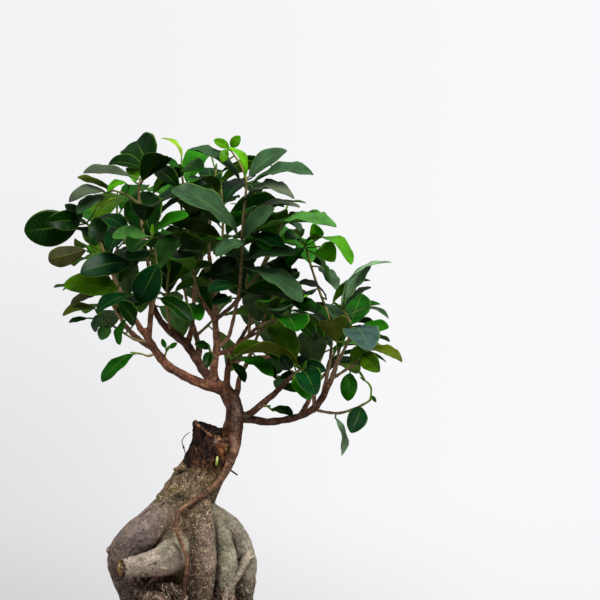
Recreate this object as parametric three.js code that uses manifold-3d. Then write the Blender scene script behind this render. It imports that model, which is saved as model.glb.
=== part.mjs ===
// A ficus bonsai: swollen roots and a cut stump in a plain pot, with a grafted crown of leafy shoots.
// Millimetres, +Z up, -Y is the front. The origin is the middle of the pot's flat underside.
import * as THREE from "three";
import { mergeVertices } from "three/addons/utils/BufferGeometryUtils.js";
import Module from "manifold-3d";

const wasm = await Module();
wasm.setup();

// Gap kept between two pieces that touch, and the least gap between a leaf and its neighbours
const SEAT = 0.3;
const LEAF_CLEARANCE = 0.5;

// The plant is laid out as it looks from the front, to an eye this far before the trunk
const EYE = { across: 115, up: 400, back: 1500 };

// Pot: half its length and width at the lip, how far the lip stands out, how much narrower the hollow is
// at its floor, and the foot it stands on; corner is the power of the superellipse it is seen as from above
const POT = {
  halfLong: 108,
  halfWide: 84,
  height: 80,
  wall: 6,
  lipHeight: 12,
  lipReach: 5,
  lipSlope: 2,
  floor: 18,
  taper: 14,
  skinUnderFloor: 4,
  footHeight: 9,
  footInset: 30,
  footStep: 8,
  corner: 3.2,
  segments: 20,
};
const DRAIN = { radius: 7, offset: 48, sides: 12 };

// Soil: its level at the pot's wall, and how high, wide and steep the mound under the roots is
const SOIL_EDGE = 72;
const SOIL_RISE = 52;
const SOIL_RISE_WIDTH = 54;
const SOIL_RISE_POWER = 4;

// Number of sides of the round limbs
const ROOT_SIDES = 8;
const BRANCH_SIDES = 5;
const AERIAL_SIDES = 5;
const TWIG_SIDES = 4;

// Leaf blade: the least thickness at the midrib, how much more of it comes with width, and its proportions
const BLADE_THICKNESS = 0.9;
const BLADE_KEEL = 0.1;
const BLADE_SLENDERNESS = 0.46;
const BLADE_ARCH = 0.1;
const BLADE_SIDES = 3;
// Petiole: its radius at the blade and at its root, which lies in the middle of the twig, off the twig's ends
const PETIOLE_RADIUS = 0.9;
const PETIOLE_ROOT_RADIUS = 0.5;
const TWIG_END_MARGIN = 2;
// Outline of a blade: place along its length and share of its half width. A blade seen narrower than
// BROAD_VIEW has the plain one.
const BROAD_VIEW = 12;
const FINE_OUTLINE = [
  [0.1, 0.5],
  [0.34, 0.94],
  [0.66, 0.96],
  [0.89, 0.56],
];
const PLAIN_OUTLINE = [
  [0.14, 0.6],
  [0.5, 1],
  [0.86, 0.62],
];

// A leaf that would touch another is moved along the line of sight by these depths, one after another
const DEPTH_TRIES = [0, 7, -7, 14, -14, 21, -21, 28, -28, 36, -36, 45, -45];

// Leaves set by rule: the stretch of twig that bears them, their sizes from least to most, and how they lean.
// Each turns round the twig by the golden angle from the one before, and by retryTurn for each new try.
const GOLDEN_ANGLE = 2.39996;
const RULED = {
  stretch: [0.3, 0.96],
  petiole: [7, 12],
  length: [44, 62],
  slenderness: [0.47, 0.57],
  arch: [0.06, 0.14],
  droop: [-0.1, 0.4],
  roll: [-0.45, 0.45],
  petioleForward: 0.6,
  petioleRise: 0.25,
  bladeForward: 0.45,
  faceOutward: 0.35,
  retryTurn: 0.71,
  retryShrink: 0.02,
  tries: 14,
};

// Rootstock: each root's points are across, depth, up and radius
const ROOTS = {
  stump: [
    [31, 6, 290, 22],
    [30, 6, 270, 22.5],
    [26.5, 6, 250, 22.5],
    [19.5, 6, 232, 23.5],
    [8.5, 5, 212, 25.5],
    [0, 5, 192, 30],
    [1, 6, 168, 37],
    [2, 8, 140, 38],
    [2, 8, 112, 30],
    [2, 6, 82, 20],
    [2, 6, 52, 9],
  ],
  left: [
    [6, -4, 216, 13],
    [-9, -8, 198, 15.5],
    [-25, -12, 181, 17.5],
    [-43, -14, 166, 17.8],
    [-58, -12, 152, 16],
    [-64, -8, 139, 13.5],
    [-60, -2, 122, 13],
    [-54, 2, 106, 12.5],
    [-51, 6, 84, 9],
    [-50, 8, 56, 4],
  ],
  cut: [
    [14, -16, 158, 15],
    [0, -23, 150, 18],
    [-10, -28, 146, 17.5],
    [-22, -34, 139, 15],
    [-36, -41, 135.5, 12.3],
    [-50, -48, 133, 10.5],
    [-64, -55, 131.5, 9],
  ],
  frontMiddle: [
    [14, -14, 198, 13],
    [16, -24, 170, 14.5],
    [17, -30, 148, 14.5],
    [16.5, -33, 122, 13.5],
    [14.5, -33, 104, 12.5],
    [14, -31, 82, 8],
    [14, -28, 54, 3.5],
  ],
  frontRight: [
    [28, -10, 186, 12],
    [38, -17, 156, 11.5],
    [42, -22, 132, 11.5],
    [40, -21, 112, 10.5],
    [39, -18, 84, 7],
    [38, -16, 58, 3],
  ],
  right: [
    [6, 0, 199, 13],
    [22, -2, 186, 13.5],
    [37, -5, 178, 12],
    [48.5, -6, 168, 11],
    [56, -5, 155, 10.8],
    [61, -3, 142, 10.5],
    [62, -1, 127, 10],
    [60, 1, 110, 9.5],
    [60, 3, 92, 8],
    [57, 6, 56, 3.5],
  ],
  crossing: [
    [66, -8, 150, 3.5],
    [61, -15, 140, 4.8],
    [53, -22, 127, 5],
    [46, -27, 113, 4.8],
    [40, -30, 98, 4.2],
    [37, -30, 80, 3],
  ],
  backLeft: [
    [-8, 16, 188, 22],
    [-26, 32, 158, 18],
    [-38, 44, 130, 14],
    [-42, 50, 104, 11],
    [-42, 52, 76, 7],
    [-41, 52, 54, 4],
  ],
  backMiddle: [
    [4, 18, 180, 20],
    [4, 40, 152, 16],
    [2, 52, 124, 12.5],
    [1, 55, 96, 9],
    [2, 54, 64, 5],
  ],
  backRight: [
    [16, 14, 184, 19],
    [36, 28, 156, 16],
    [48, 38, 128, 12.5],
    [52, 42, 100, 9],
    [51, 42, 72, 6],
    [50, 41, 54, 3.5],
  ],
};
// The stump's top is sawn off on a slope: a point of the cut and its tilt in radians
const STUMP_CUT = { across: 26, up: 274.5, tilt: 0.26 };

// Scion: the grafted stem, which runs down into the aerial root, and its branches
const SCION = {
  stem: [
    [37, 0, 317, 6],
    [42, 0, 307, 8],
    [48, 0, 297, 8.8],
    [50, -2, 284, 8.6],
    [50, -5, 268, 7.6],
    [49.5, -13, 250, 4.8],
    [44, -19, 235, 3.6],
  ],
  aerialRoot: [
    [49.5, -12, 251, 4.4],
    [44, -19, 235, 4.2],
    [37, -23, 222, 3.4],
    [24, -26, 210, 2.9],
    [10, -30, 200, 2.6],
    [-1, -35, 193, 2.3],
    [-8, -37, 183, 2.1],
    [-8, -42, 169, 2],
    [-3, -47, 155, 2],
    [2, -50, 142, 2],
    [2, -50, 131, 2],
    [0, -48, 119, 1.9],
    [-1, -40, 98, 1.7],
    [0, -38, 62, 1.2],
  ],
  graft: [
    [49, 1, 290, 7],
    [45, 4, 272, 7],
    [39, 5, 256, 4],
  ],
  a: [
    [37, 0, 311, 6.2],
    [25, -4, 314, 5.4],
    [10, -10, 319, 4.7],
    [-5, -16, 326.5, 4.5],
    [-17, -21, 334, 4.4],
    [-28, -27, 347, 4.2],
    [-36, -31, 360, 3.9],
    [-41, -33, 371, 3],
  ],
  aLeft: [
    [-37, -31, 363, 3],
    [-45, -32, 372, 2.8],
    [-49, -34, 380, 2.6],
    [-54, -36, 386, 2.2],
  ],
  aUp: [
    [-36, -31, 362, 2.8],
    [-35, -30, 376, 2.6],
    [-34, -30, 391, 2.3],
    [-34, -32, 407, 2],
  ],
  aBack: [
    [-30, -26, 350, 3],
    [-48, -5, 362, 2.6],
    [-62, 20, 378, 2.3],
    [-72, 45, 398, 2],
  ],
  b: [
    [35, 4, 314, 5.2],
    [22, 10, 325, 4.8],
    [12, 18, 340, 4.4],
    [1, 27, 356, 4.4],
    [-13, 34, 368, 4.5],
    [-25, 40, 380, 3.2],
    [-35, 48, 402, 2.4],
  ],
  bUp: [
    [2, 26, 354, 3],
    [6, 28, 369, 2.7],
    [8, 28, 384, 2.4],
    [9, 26, 396, 2.1],
  ],
  bBack: [
    [12, 18, 340, 3.6],
    [14, 45, 352, 3.2],
    [10, 70, 368, 2.6],
    [4, 92, 388, 2.1],
  ],
  c: [
    [33, 3, 312, 4.6],
    [29, 5, 323, 4.4],
    [29, 8, 337, 4.1],
    [32, 10, 352, 3.8],
    [30, 14, 380, 3],
    [30, 18, 399, 2.6],
    [24, 26, 445, 1.9],
  ],
  cFront: [
    [30, 14, 380, 2.6],
    [22, 0, 391, 2.2],
    [14, -14, 404, 1.9],
  ],
  cRight: [
    [31, 9, 346, 2.6],
    [43, 4, 349, 2.2],
    [51, 0, 354, 2.1],
    [58, -4, 359, 2],
    [65, -8, 366, 1.9],
    [73, -12, 373, 1.7],
  ],
  cBack: [
    [30, 14, 380, 2.4],
    [45, 34, 392, 2.2],
    [60, 55, 408, 2],
    [74, 72, 428, 1.7],
  ],
  d: [
    [42, 6, 306, 4],
    [42, 12, 320, 3.5],
    [43, 18, 332, 3.1],
    [46, 26, 344, 2.7],
    [54, 40, 358, 2.3],
    [62, 58, 372, 2],
  ],
  e: [
    [51, 3, 302, 3.2],
    [53, 4, 312, 2.7],
    [54, 6, 320, 2.5],
    [60, 5, 333, 2.2],
    [66, 2, 347, 2],
  ],
  f: [
    [54, 0, 283, 3.8],
    [66, -5, 287, 3.5],
    [77, -11, 296, 3.2],
    [90, -19, 307, 2.9],
    [106, -30, 323, 2.2],
  ],
  g: [
    [48, 0, 283, 5],
    [65, 1, 281, 4.2],
    [80, 2, 278, 3.8],
    [97, 3, 279.5, 3.4],
    [115, 1, 284, 3.3],
    [128, -1, 291, 3.7],
    [137, -3, 302, 3.3],
    [145, -6, 318, 2.8],
    [150, -9, 330, 2.3],
    [151, -11, 340, 1.9],
  ],
  gBack: [
    [115, 1, 284, 2.8],
    [122, 20, 296, 2.4],
    [128, 42, 312, 2.1],
    [132, 62, 332, 1.8],
  ],
  dBack: [
    [44, 20, 337, 2.6],
    [58, 40, 341, 2.3],
    [73, 58, 342, 2.1],
    [88, 70, 344, 1.8],
  ],
};

// Leafy shoots. A twig's points are across, depth, up and radius; the first lies in the branch it grows on.
// A leaf is: across and up of the blade's base, across and up of its tip, depth of base and of tip,
// and the width that is seen, negative where the underside is seen; then its arch, if it isn't the usual one.
// rule is how many more leaves are set round the first twig by rule, and turn is where the first of them is.
const SHOOTS = {
  crown: {
    twigs: [
      [
        [32, 9, 351, 2.2],
        [43, 2, 362, 2],
        [47, -2, 375, 1.9],
        [50, -6, 388, 1.8],
        [53, -10, 402, 1.8],
        [55, -13, 415, 1.7],
        [56, -16, 430, 1.6],
        [57, -18, 446, 1.5],
        [57, -20, 462, 1.5],
        [59, -22, 490, 1.4],
        [61, -26, 520, 1.3],
        [55, -28, 536, 1.1],
        [45, -30, 551, 0.9],
      ],
    ],
    leaves: [
      [55, 520, 5, 551, -32, -48, 11],
      [39, 537, 22, 550, -24, -20, 8],
      [44, 553, 29, 560, -31, -40, 9],
      [46, 553, 55, 564, -31, -38, 10],
      [41, 551, 37, 538, -34, -40, 9],
      [59, 521, 44, 553, -36, -48, 7, 0.2],
      [64, 523, 101, 552, -26, -14, 18],
      [67, 517, 127, 530, -32, -52, 12],
      [58, 497, 108, 505, -34, -62, 9, 0.2],
      [61, 487, 115, 493, -30, -48, 6],
      [58, 462, 90, 491, -26, -56, 16],
      [70, 467, 151, 476, -42, -78, 8, 0.08],
      [66, 465, 99, 453, -36, -58, 12],
      [54, 462, -9, 513, -32, -80, 18],
      [40, 452, -15, 479, -30, -52, -14],
      [50, 453, 29, 447, -28, -56, 14],
      [62, 432, 118, 401, -28, -58, 16],
      [60, 408, 117, 400, -22, -44, -18],
      [50, 414, 23, 407, -20, -46, 12],
      [45, 402, 27, 397, -14, -34, 11],
      [60, 457, 31, 445, -40, -68, 13],
      [51, 441, 25, 428, -6, -24, 17],
      [62, 440, 110, 449, -30, -54, 12],
    ],
  },
  farLeft: {
    twigs: [
      [
        [-54, -36, 386, 1.9],
        [-67, -38, 415, 1.7],
        [-80, -40, 445, 1.5],
        [-90, -42, 468, 1.3],
        [-100, -44, 478, 1.1],
      ],
    ],
    leaves: [
      [-107, 475, -161, 469, -46, -62, 36, 0.05],
      [-105, 479, -137, 478, -54, -88, 20],
      [-104, 480, -119, 495, -46, -70, 12],
      [-80, 504, -108, 488, -56, -78, 13],
      [-84, 484, -90, 455, -48, -66, 18],
      [-84, 484, -58, 470, -48, -72, 14],
    ],
    rule: 2,
    turn: 10.5,
  },
  upperLeft: {
    twigs: [
      [
        [-34, -32, 407, 1.8],
        [-36, -36, 430, 1.7],
        [-40, -42, 455, 1.6],
        [-43, -46, 475, 1.5],
        [-46, -50, 498, 1.4],
        [-45, -52, 518, 1.2],
        [-40, -54, 528, 1],
      ],
      [
        [-46, -50, 496, 1.2],
        [-60, -54, 506, 1.1],
        [-74, -58, 510, 0.9],
      ],
    ],
    leaves: [
      [-78, 507, -116, 499, -62, -84, 12, 0.16],
      [-78, 512, -108, 522, -58, -66, 7, 0.03],
      [-55, 514, -78, 509, -64, -78, 7, 0.25],
      [-54, 524, -101, 530, -58, -78, 10, 0.02],
      [-42, 531, -76, 537, -46, -28, 14],
      [-33, 531, -49, 560, -52, -8, 38, 0.05],
      [-50, 517, -50, 535, -60, -40, 16],
      [-68, 502, -89, 488, -60, -64, 5],
    ],
    rule: 2,
    turn: 10.2,
  },
  topMiddle: {
    twigs: [
      [
        [9, 26, 396, 1.9],
        [8, 20, 430, 1.7],
        [4, 10, 465, 1.5],
        [0, 0, 500, 1.3],
        [-3, -6, 526, 1.1],
      ],
    ],
    leaves: [
      [-1, 532, 18, 530, -12, -52, 17],
      [-3, 540, -23, 563, -8, -12, 4, 0.2],
      [-5, 533, -25, 539, -12, -38, 9, 0.04],
      [2, 505, 34, 520, -4, 12, 16],
      [-6, 512, -28, 532, -4, 22, 18],
    ],
    rule: 3,
    turn: 5.7,
  },
  midLeft: {
    twigs: [
      [
        [-34, -30, 386, 1.7],
        [-29, -44, 410, 1.6],
        [-29, -58, 438, 1.4],
        [-33, -68, 464, 1.1],
      ],
    ],
    leaves: [
      [-34, 467, -45, 507, -72, -28, 40, 0.04],
      [-38, 464, -72, 464, -72, -96, 13],
      [-31, 466, 4, 484, -70, -94, 12],
      [-27, 436, -46, 398, -72, -60, 28],
      [-34, 446, -62, 444, -66, -80, 12],
      [-26, 402, 7, 378, -40, -52, 14],
      [-39, 400, -68, 387, -44, -64, 14],
    ],
    rule: 2,
    turn: 10.8,
  },
  lowerFarLeft: {
    twigs: [
      [
        [-48, -34, 378, 1.7],
        [-58, -46, 394, 1.6],
        [-70, -54, 412, 1.4],
        [-82, -60, 432, 1.2],
        [-93, -62, 447, 1],
      ],
    ],
    leaves: [
      [-99, 450, -137, 440, -64, -90, -20],
      [-56, 437, -104, 427, -64, -104, 24],
      [-67, 411, -121, 415, -58, -84, 23],
      [-88, 405, -115, 396, -58, -64, 8],
      [-54, 404, -88, 389, -46, -72, 13],
    ],
    rule: 2,
    turn: 8.1,
  },
  lowLeft: {
    twigs: [
      [
        [-35, -31, 358, 1.4],
        [-49, -36, 360, 1.2],
        [-58, -38, 365, 1.1],
        [-67, -40, 371, 1],
        [-75, -42, 376, 1],
        [-82, -43, 382, 0.9],
      ],
    ],
    leaves: [
      [-88, 390, -122, 387, -46, -66, 8, 0.16],
      [-82, 387, -90, 369, -46, -66, 10],
      [-78, 374, -84, 360, -46, -66, 13],
      [-59, 381, -65, 355, -42, -60, 10],
      [-50, 376, -68, 398, -46, -78, 14],
      [-97, 382, -116, 379, -48, -58, 5, 0.02],
    ],
  },
  leftDrop: {
    twigs: [
      [
        [-28, -27, 347, 1.4],
        [-37, -33, 344, 1.1],
        [-43, -36, 346, 1],
        [-50, -39, 347, 0.9],
      ],
    ],
    leaves: [[-52, 346, -83, 318, -41, -60, 14]],
  },
  budPair: {
    twigs: [
      [
        [-19, -22, 336, 1.2],
        [-20, -28, 344, 0.9],
        [-18, -30, 350, 0.8],
      ],
    ],
    leaves: [
      [-19, 352, -23, 361, -31, -34, 5],
      [-16, 352, -8, 357, -31, -34, 5],
    ],
  },
  innerPair: {
    twigs: [
      [
        [30, 8, 340, 1.4],
        [27, -2, 346, 1.1],
        [25, -8, 350, 0.9],
      ],
    ],
    leaves: [
      [23, 352, 10, 356, -10, -26, 8],
      [24, 348, 22, 332, -12, -26, 10],
    ],
  },
  underMiddle: {
    twigs: [
      [
        [43, 4, 349, 1.6],
        [44, -4, 345, 1.3],
        [46, -10, 342, 1],
      ],
    ],
    leaves: [
      [50, 341, 88, 323, -13, -40, 10, 0.16],
      [48, 346, 82, 356, -14, -44, -13, 0.04],
      [47, 337, 60, 318, -14, -24, 9],
    ],
  },
  rightLow: {
    twigs: [
      [
        [105, -29, 322, 1.9],
        [112, -34, 328, 1.5],
        [118, -38, 332, 1.2],
      ],
    ],
    leaves: [
      [113, 335, 50, 348, -44, -66, -12],
      [104, 330, 97, 345, -38, -62, 14],
      [122, 336, 140, 330, -36, -58, 14],
      [108, 321, 125, 301, -40, -64, 14],
    ],
    rule: 2,
    turn: 6,
  },
  underLeaf: {
    twigs: [
      [
        [77, -11, 296, 1.4],
        [80, -17, 294, 1.1],
        [83, -21, 294, 0.9],
      ],
    ],
    leaves: [[86, 291, 107, 286, -24, -46, 7, 0.03]],
  },
  innerRight: {
    twigs: [
      [
        [66, 2, 347, 1.7],
        [70, -1, 358, 1.6],
        [78, 4, 378, 1.5],
        [87, 8, 402, 1.3],
        [96, 8, 428, 1.1],
      ],
    ],
    leaves: [
      [73, 349, 99, 337, -6, -28, 9],
      [72, 341, 91, 322, -12, -26, 6],
    ],
    rule: 3,
    turn: 12.3,
  },
  forkUp: {
    twigs: [
      [
        [129, -1, 293, 2.2],
        [129, 2, 302, 2],
        [128, 6, 312, 1.8],
        [127, 10, 322, 1.6],
        [128, 12, 336, 1.4],
        [131, 10, 352, 1.1],
      ],
    ],
    leaves: [
      [122, 320, 96, 324, 2, -20, 6],
      [126, 304, 99, 311, -2, -30, 8],
      [122, 326, 108, 340, 6, -30, 12],
    ],
    rule: 3,
    turn: 5.4,
  },
  upperRight: {
    twigs: [
      [
        [137, -3, 304, 1.9],
        [141, 4, 320, 1.8],
        [144, 10, 334, 1.7],
        [146, 14, 348, 1.6],
        [146, 14, 366, 1.5],
        [142, 8, 388, 1.4],
        [134, 0, 410, 1.3],
        [126, -8, 434, 1.2],
        [120, -14, 456, 1],
      ],
    ],
    leaves: [
      [113, 460, 100, 462, -18, -50, 10],
      [134, 461, 128, 475, -18, -40, 14],
      [121, 459, 167, 438, -24, -64, 8, 0.2],
      [136, 454, 150, 438, -22, -56, 20],
      [128, 448, 142, 420, -28, -44, 5],
      [133, 434, 151, 411, -28, -58, 12],
      [122, 408, 100, 406, -6, -36, 10],
      [142, 400, 112, 416, -12, -34, 5, 0.2],
      [139, 396, 155, 377, -12, -48, 12],
      [118, 452, 104, 432, -16, -38, 12],
    ],
    rule: 3,
    turn: 6.3,
  },
  right: {
    twigs: [
      [
        [145, -6, 319, 2],
        [150, -14, 332, 1.8],
        [155, -20, 342, 1.7],
        [160, -25, 352, 1.6],
        [164, -29, 362, 1.5],
        [166, -32, 373, 1.3],
        [162, -35, 384, 1.2],
        [157, -38, 392, 1],
      ],
    ],
    leaves: [
      [156, 398, 185, 434, -40, -58, 12, 0.03],
      [160, 415, 206, 439, -47, -52, 3, 0.12],
      [165, 375, 177, 406, -36, 0, 27, 0.04],
      [174, 371, 203, 373, -36, -62, 11, 0.05],
      [168, 366, 190, 356, -38, -76, 14],
      [180, 392, 204, 383, -38, -46, 4, 0.12],
      [151, 358, 148, 380, -36, -76, -28],
      [160, 394, 185, 414, -40, -50, 5],
    ],
    rule: 1,
    turn: 1.8,
  },
  rightTip: {
    twigs: [
      [
        [149, -6, 322.5, 1.7],
        [156, -11, 327, 1.5],
        [162, -16, 331, 1.4],
        [169, -20, 335, 1.3],
        [175, -23, 343, 1.1],
      ],
    ],
    leaves: [
      [166, 337, 181, 354, -24, -44, 10],
      [182, 350, 217, 339, -26, -48, 9, 0.12],
      [178, 345, 194, 329, -26, -52, 18],
      [165, 327, 163, 300, -24, -38, 17],
    ],
  },
  longSprig: {
    twigs: [
      [
        [131, -1, 290, 1.6],
        [140, -6, 288, 1.5],
        [148, -10, 287, 1.4],
        [155, -14, 287, 1.4],
        [163, -17, 289, 1.3],
        [171, -20, 292, 1.3],
        [179, -22, 296, 1.2],
        [185, -23, 300, 1.2],
        [186, -24, 305, 1.1],
        [186, -25, 312, 1.1],
        [183, -26, 317, 1],
        [179, -26, 320, 0.9],
      ],
    ],
    leaves: [
      [176, 293, 166, 267, -22, -42, 20],
      [150, 283, 159, 245, -14, -22, 7],
      [187, 304, 191, 298, -25, -30, 4],
    ],
  },
  middleRight: {
    twigs: [
      [
        [73, -12, 373, 1.5],
        [88, -18, 380, 1.3],
        [103, -23, 384, 1],
      ],
    ],
    leaves: [
      [108, 364, 100, 378, -26, -44, 6],
      [106, 383, 145, 353, -26, -50, 6, 0.3],
      [110, 378, 130, 362, -22, -50, 13],
    ],
    rule: 3,
    turn: 9.6,
  },
  middle: {
    twigs: [
      [
        [64, -7, 365, 1.5],
        [65, 2, 380, 1.4],
        [66, 10, 400, 1.3],
        [72, 8, 428, 1.1],
      ],
    ],
    leaves: [
      [84, 438, 105, 425, 0, -34, 16],
      [62, 370, 18, 377, -14, -38, -11, 0.06],
      [68, 436, 78, 460, 4, 24, 14],
    ],
    rule: 4,
    turn: 3.9,
  },
  leftMiddle: {
    twigs: [
      [
        [-46, -32, 373, 1.7],
        [-57, -14, 392, 1.5],
        [-69, -2, 416, 1.3],
        [-78, 4, 440, 1],
      ],
    ],
    rule: 5,
    turn: 2.1,
  },
  backLeftLow: {
    twigs: [
      [
        [-62, 20, 378, 1.7],
        [-72, 34, 394, 1.4],
        [-80, 42, 412, 1],
      ],
    ],
    rule: 4,
    turn: 8.7,
  },
  backLeft: {
    twigs: [
      [
        [-72, 45, 398, 1.7],
        [-76, 62, 418, 1.4],
        [-79, 68, 440, 1],
      ],
    ],
    rule: 4,
    turn: 9.3,
  },
  backLeftUp: {
    twigs: [
      [
        [-67, 34, 389, 1.7],
        [-68, 32, 425, 1.5],
        [-68, 28, 460, 1.3],
        [-68, 22, 492, 1],
      ],
    ],
    rule: 6,
    turn: 4.8,
  },
  backLeftTop: {
    twigs: [
      [
        [-34.5, 47.5, 401, 1.8],
        [-33, 48, 434, 1.5],
        [-36, 42, 470, 1.3],
        [-42, 34, 508, 1],
      ],
    ],
    rule: 6,
    turn: 6.6,
  },
  topCentre: {
    twigs: [
      [
        [30, 18, 400, 1.8],
        [34, 6, 425, 1.5],
        [37, -2, 455, 1.3],
        [38, -6, 485, 1.2],
        [36, -8, 512, 1],
      ],
    ],
    rule: 7,
    turn: 11.1,
  },
  frontMiddle: {
    twigs: [
      [
        [14, -14, 404, 1.7],
        [9, -22, 424, 1.4],
        [6, -26, 448, 1.2],
        [4, -28, 470, 1],
      ],
    ],
    rule: 7,
    turn: 9.6,
  },
  innerLeft: {
    twigs: [
      [
        [-14, 34, 369, 1.7],
        [-17, 22, 386, 1.5],
        [-18, 8, 406, 1.3],
        [-16, -2, 430, 1],
      ],
    ],
    rule: 5,
    turn: 7.8,
  },
  backLeftFar: {
    twigs: [
      [
        [-26, 40.5, 381, 1.7],
        [-32, 66, 399, 1.4],
        [-40, 90, 420, 1],
      ],
    ],
    rule: 5,
    turn: 10.8,
  },
  back: {
    twigs: [
      [
        [4, 92, 388, 1.7],
        [0, 106, 408, 1.4],
        [-4, 116, 430, 1],
      ],
    ],
    rule: 4,
    turn: 2.1,
  },
  backLow: {
    twigs: [
      [
        [11, 64, 364, 1.7],
        [26, 84, 378, 1.4],
        [40, 98, 396, 1],
      ],
    ],
    rule: 4,
    turn: 10.2,
  },
  topBack: {
    twigs: [
      [
        [24, 26, 445, 1.6],
        [25, 20, 476, 1.4],
        [28, 12, 506, 1.2],
        [31, 6, 532, 1],
      ],
    ],
    rule: 5,
    turn: 12,
  },
  topBackLeft: {
    twigs: [
      [
        [28, 22, 420, 1.6],
        [12, 46, 444, 1.4],
        [0, 62, 474, 1.2],
        [-6, 66, 506, 1],
      ],
    ],
    rule: 5,
    turn: 2.1,
  },
  backRightTop: {
    twigs: [
      [
        [74, 72, 428, 1.6],
        [84, 82, 450, 1.3],
        [90, 86, 474, 1],
      ],
    ],
    rule: 4,
    turn: 5.7,
  },
  topRight: {
    twigs: [
      [
        [60, 55, 408, 1.7],
        [66, 50, 440, 1.5],
        [72, 46, 474, 1.2],
        [76, 42, 502, 1],
      ],
    ],
    rule: 5,
    turn: 1.8,
  },
  topFrontRight: {
    twigs: [
      [
        [45, 34, 392, 1.7],
        [62, 26, 412, 1.5],
        [80, 18, 436, 1.4],
        [92, 10, 462, 1.2],
        [98, 4, 486, 1],
      ],
    ],
    rule: 6,
    turn: 7.8,
  },
  backMiddle: {
    twigs: [
      [
        [62, 58, 372, 1.8],
        [69, 78, 384, 1.4],
        [73, 96, 402, 1],
      ],
    ],
    rule: 4,
    turn: 3.9,
  },
  innerRightLow: {
    twigs: [
      [
        [54, 40, 358, 1.7],
        [77, 46, 370, 1.5],
        [99, 50, 386, 1.3],
        [116, 50, 402, 1],
      ],
    ],
    rule: 5,
    turn: 11.1,
  },
  backRight: {
    twigs: [
      [
        [132, 62, 332, 1.6],
        [140, 73, 352, 1.3],
        [146, 79, 374, 1],
      ],
    ],
    rule: 4,
    turn: 2.7,
  },
  backRightLow: {
    twigs: [
      [
        [128, 42, 312, 1.7],
        [141, 48, 328, 1.4],
        [149, 48, 346, 1],
      ],
    ],
    rule: 4,
    turn: 8.1,
  },
  backLowRight: {
    twigs: [
      [
        [87.5, 69.5, 344, 1.6],
        [94, 86, 357, 1.3],
        [98, 96, 376, 1],
      ],
    ],
    rule: 3,
    turn: 4.5,
  },
  rightMiddle: {
    twigs: [
      [
        [150, -9, 331, 1.8],
        [153, 6, 341, 1.5],
        [153, 18, 358, 1.3],
        [152, 26, 380, 1],
      ],
    ],
    rule: 4,
    turn: 12.9,
  },
};

const UP = new THREE.Vector3(0, 0, 1);
const SIGHT = new THREE.Vector3(0, 1, 0);

// Repeatable random number from 0 to 1
function noise(seed) {
  const value = Math.sin(seed * 12.9898 + 4.1414) * 43758.5453;
  return value - Math.floor(value);
}

function between([least, most], seed) {
  return least + (most - least) * noise(seed);
}

// Real place of a point that is seen at (across, up) and lies at the given depth
function seen(across, depth, up) {
  const spread = (EYE.back + depth) / EYE.back;
  return new THREE.Vector3(
    EYE.across + (across - EYE.across) * spread,
    depth,
    EYE.up + (up - EYE.up) * spread,
  );
}

// Solid of a closed geometry
function solidOf(geometry) {
  geometry.deleteAttribute("normal");
  geometry.deleteAttribute("uv");
  const merged = mergeVertices(geometry, 1e-4);
  return new wasm.Manifold(
    new wasm.Mesh({
      numProp: 3,
      vertProperties: new Float32Array(merged.attributes.position.array),
      triVerts: new Uint32Array(merged.index.array),
    }),
  );
}

// Solid of points and the triangles between them
function solidOfPoints(points, triangles) {
  const geometry = new THREE.BufferGeometry().setFromPoints(points);
  geometry.setIndex(triangles);
  return solidOf(geometry);
}

// Geometry of a solid, in the frame of the part
function geometryOf(solid) {
  const mesh = solid.getMesh();
  const geometry = new THREE.BufferGeometry();
  geometry.setAttribute("position", new THREE.BufferAttribute(mesh.vertProperties, 3));
  geometry.setIndex(new THREE.BufferAttribute(mesh.triVerts, 1));
  geometry.computeVertexNormals();
  return geometry;
}

function union(solids) {
  return solids.reduce((whole, next) => whole.add(next));
}

// The largest body of a solid: scraps that a cut leaves are dropped
function largest(solid) {
  const bodies = solid.decompose();
  return bodies.reduce((best, next) => (next.volume() > best.volume() ? next : best));
}

// Triangles of the wall between rings of equal size
function tube(rings, sides) {
  const triangles = [];
  for (let ring = 0; ring < rings - 1; ring++) {
    for (let side = 0; side < sides; side++) {
      const a = ring * sides + side;
      const b = ring * sides + ((side + 1) % sides);
      triangles.push(a, b, b + sides, a, b + sides, a + sides);
    }
  }
  return triangles;
}

// The same wall, closed by a fan at each end
function closedTube(rings, sides) {
  const triangles = tube(rings, sides);
  const last = (rings - 1) * sides;
  for (let side = 1; side < sides - 1; side++) {
    triangles.push(0, side + 1, side);
    triangles.push(last, last + side, last + side + 1);
  }
  return triangles;
}

// Points of a limb's middle line, with a radius and a direction at each
function limbLine(points, spans) {
  const curve = new THREE.CatmullRomCurve3(
    points.map(([across, depth, up]) => seen(across, depth, up)),
    false,
    "centripetal",
  );
  const steps = (points.length - 1) * spans;
  const line = [];
  for (let step = 0; step <= steps; step++) {
    const share = step / steps;
    const place = share * (points.length - 1);
    const before = Math.min(Math.floor(place), points.length - 2);
    const radius = THREE.MathUtils.lerp(points[before][3], points[before + 1][3], place - before);
    line.push({ centre: curve.getPoint(share), along: curve.getTangent(share), radius });
  }
  return line;
}

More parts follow.
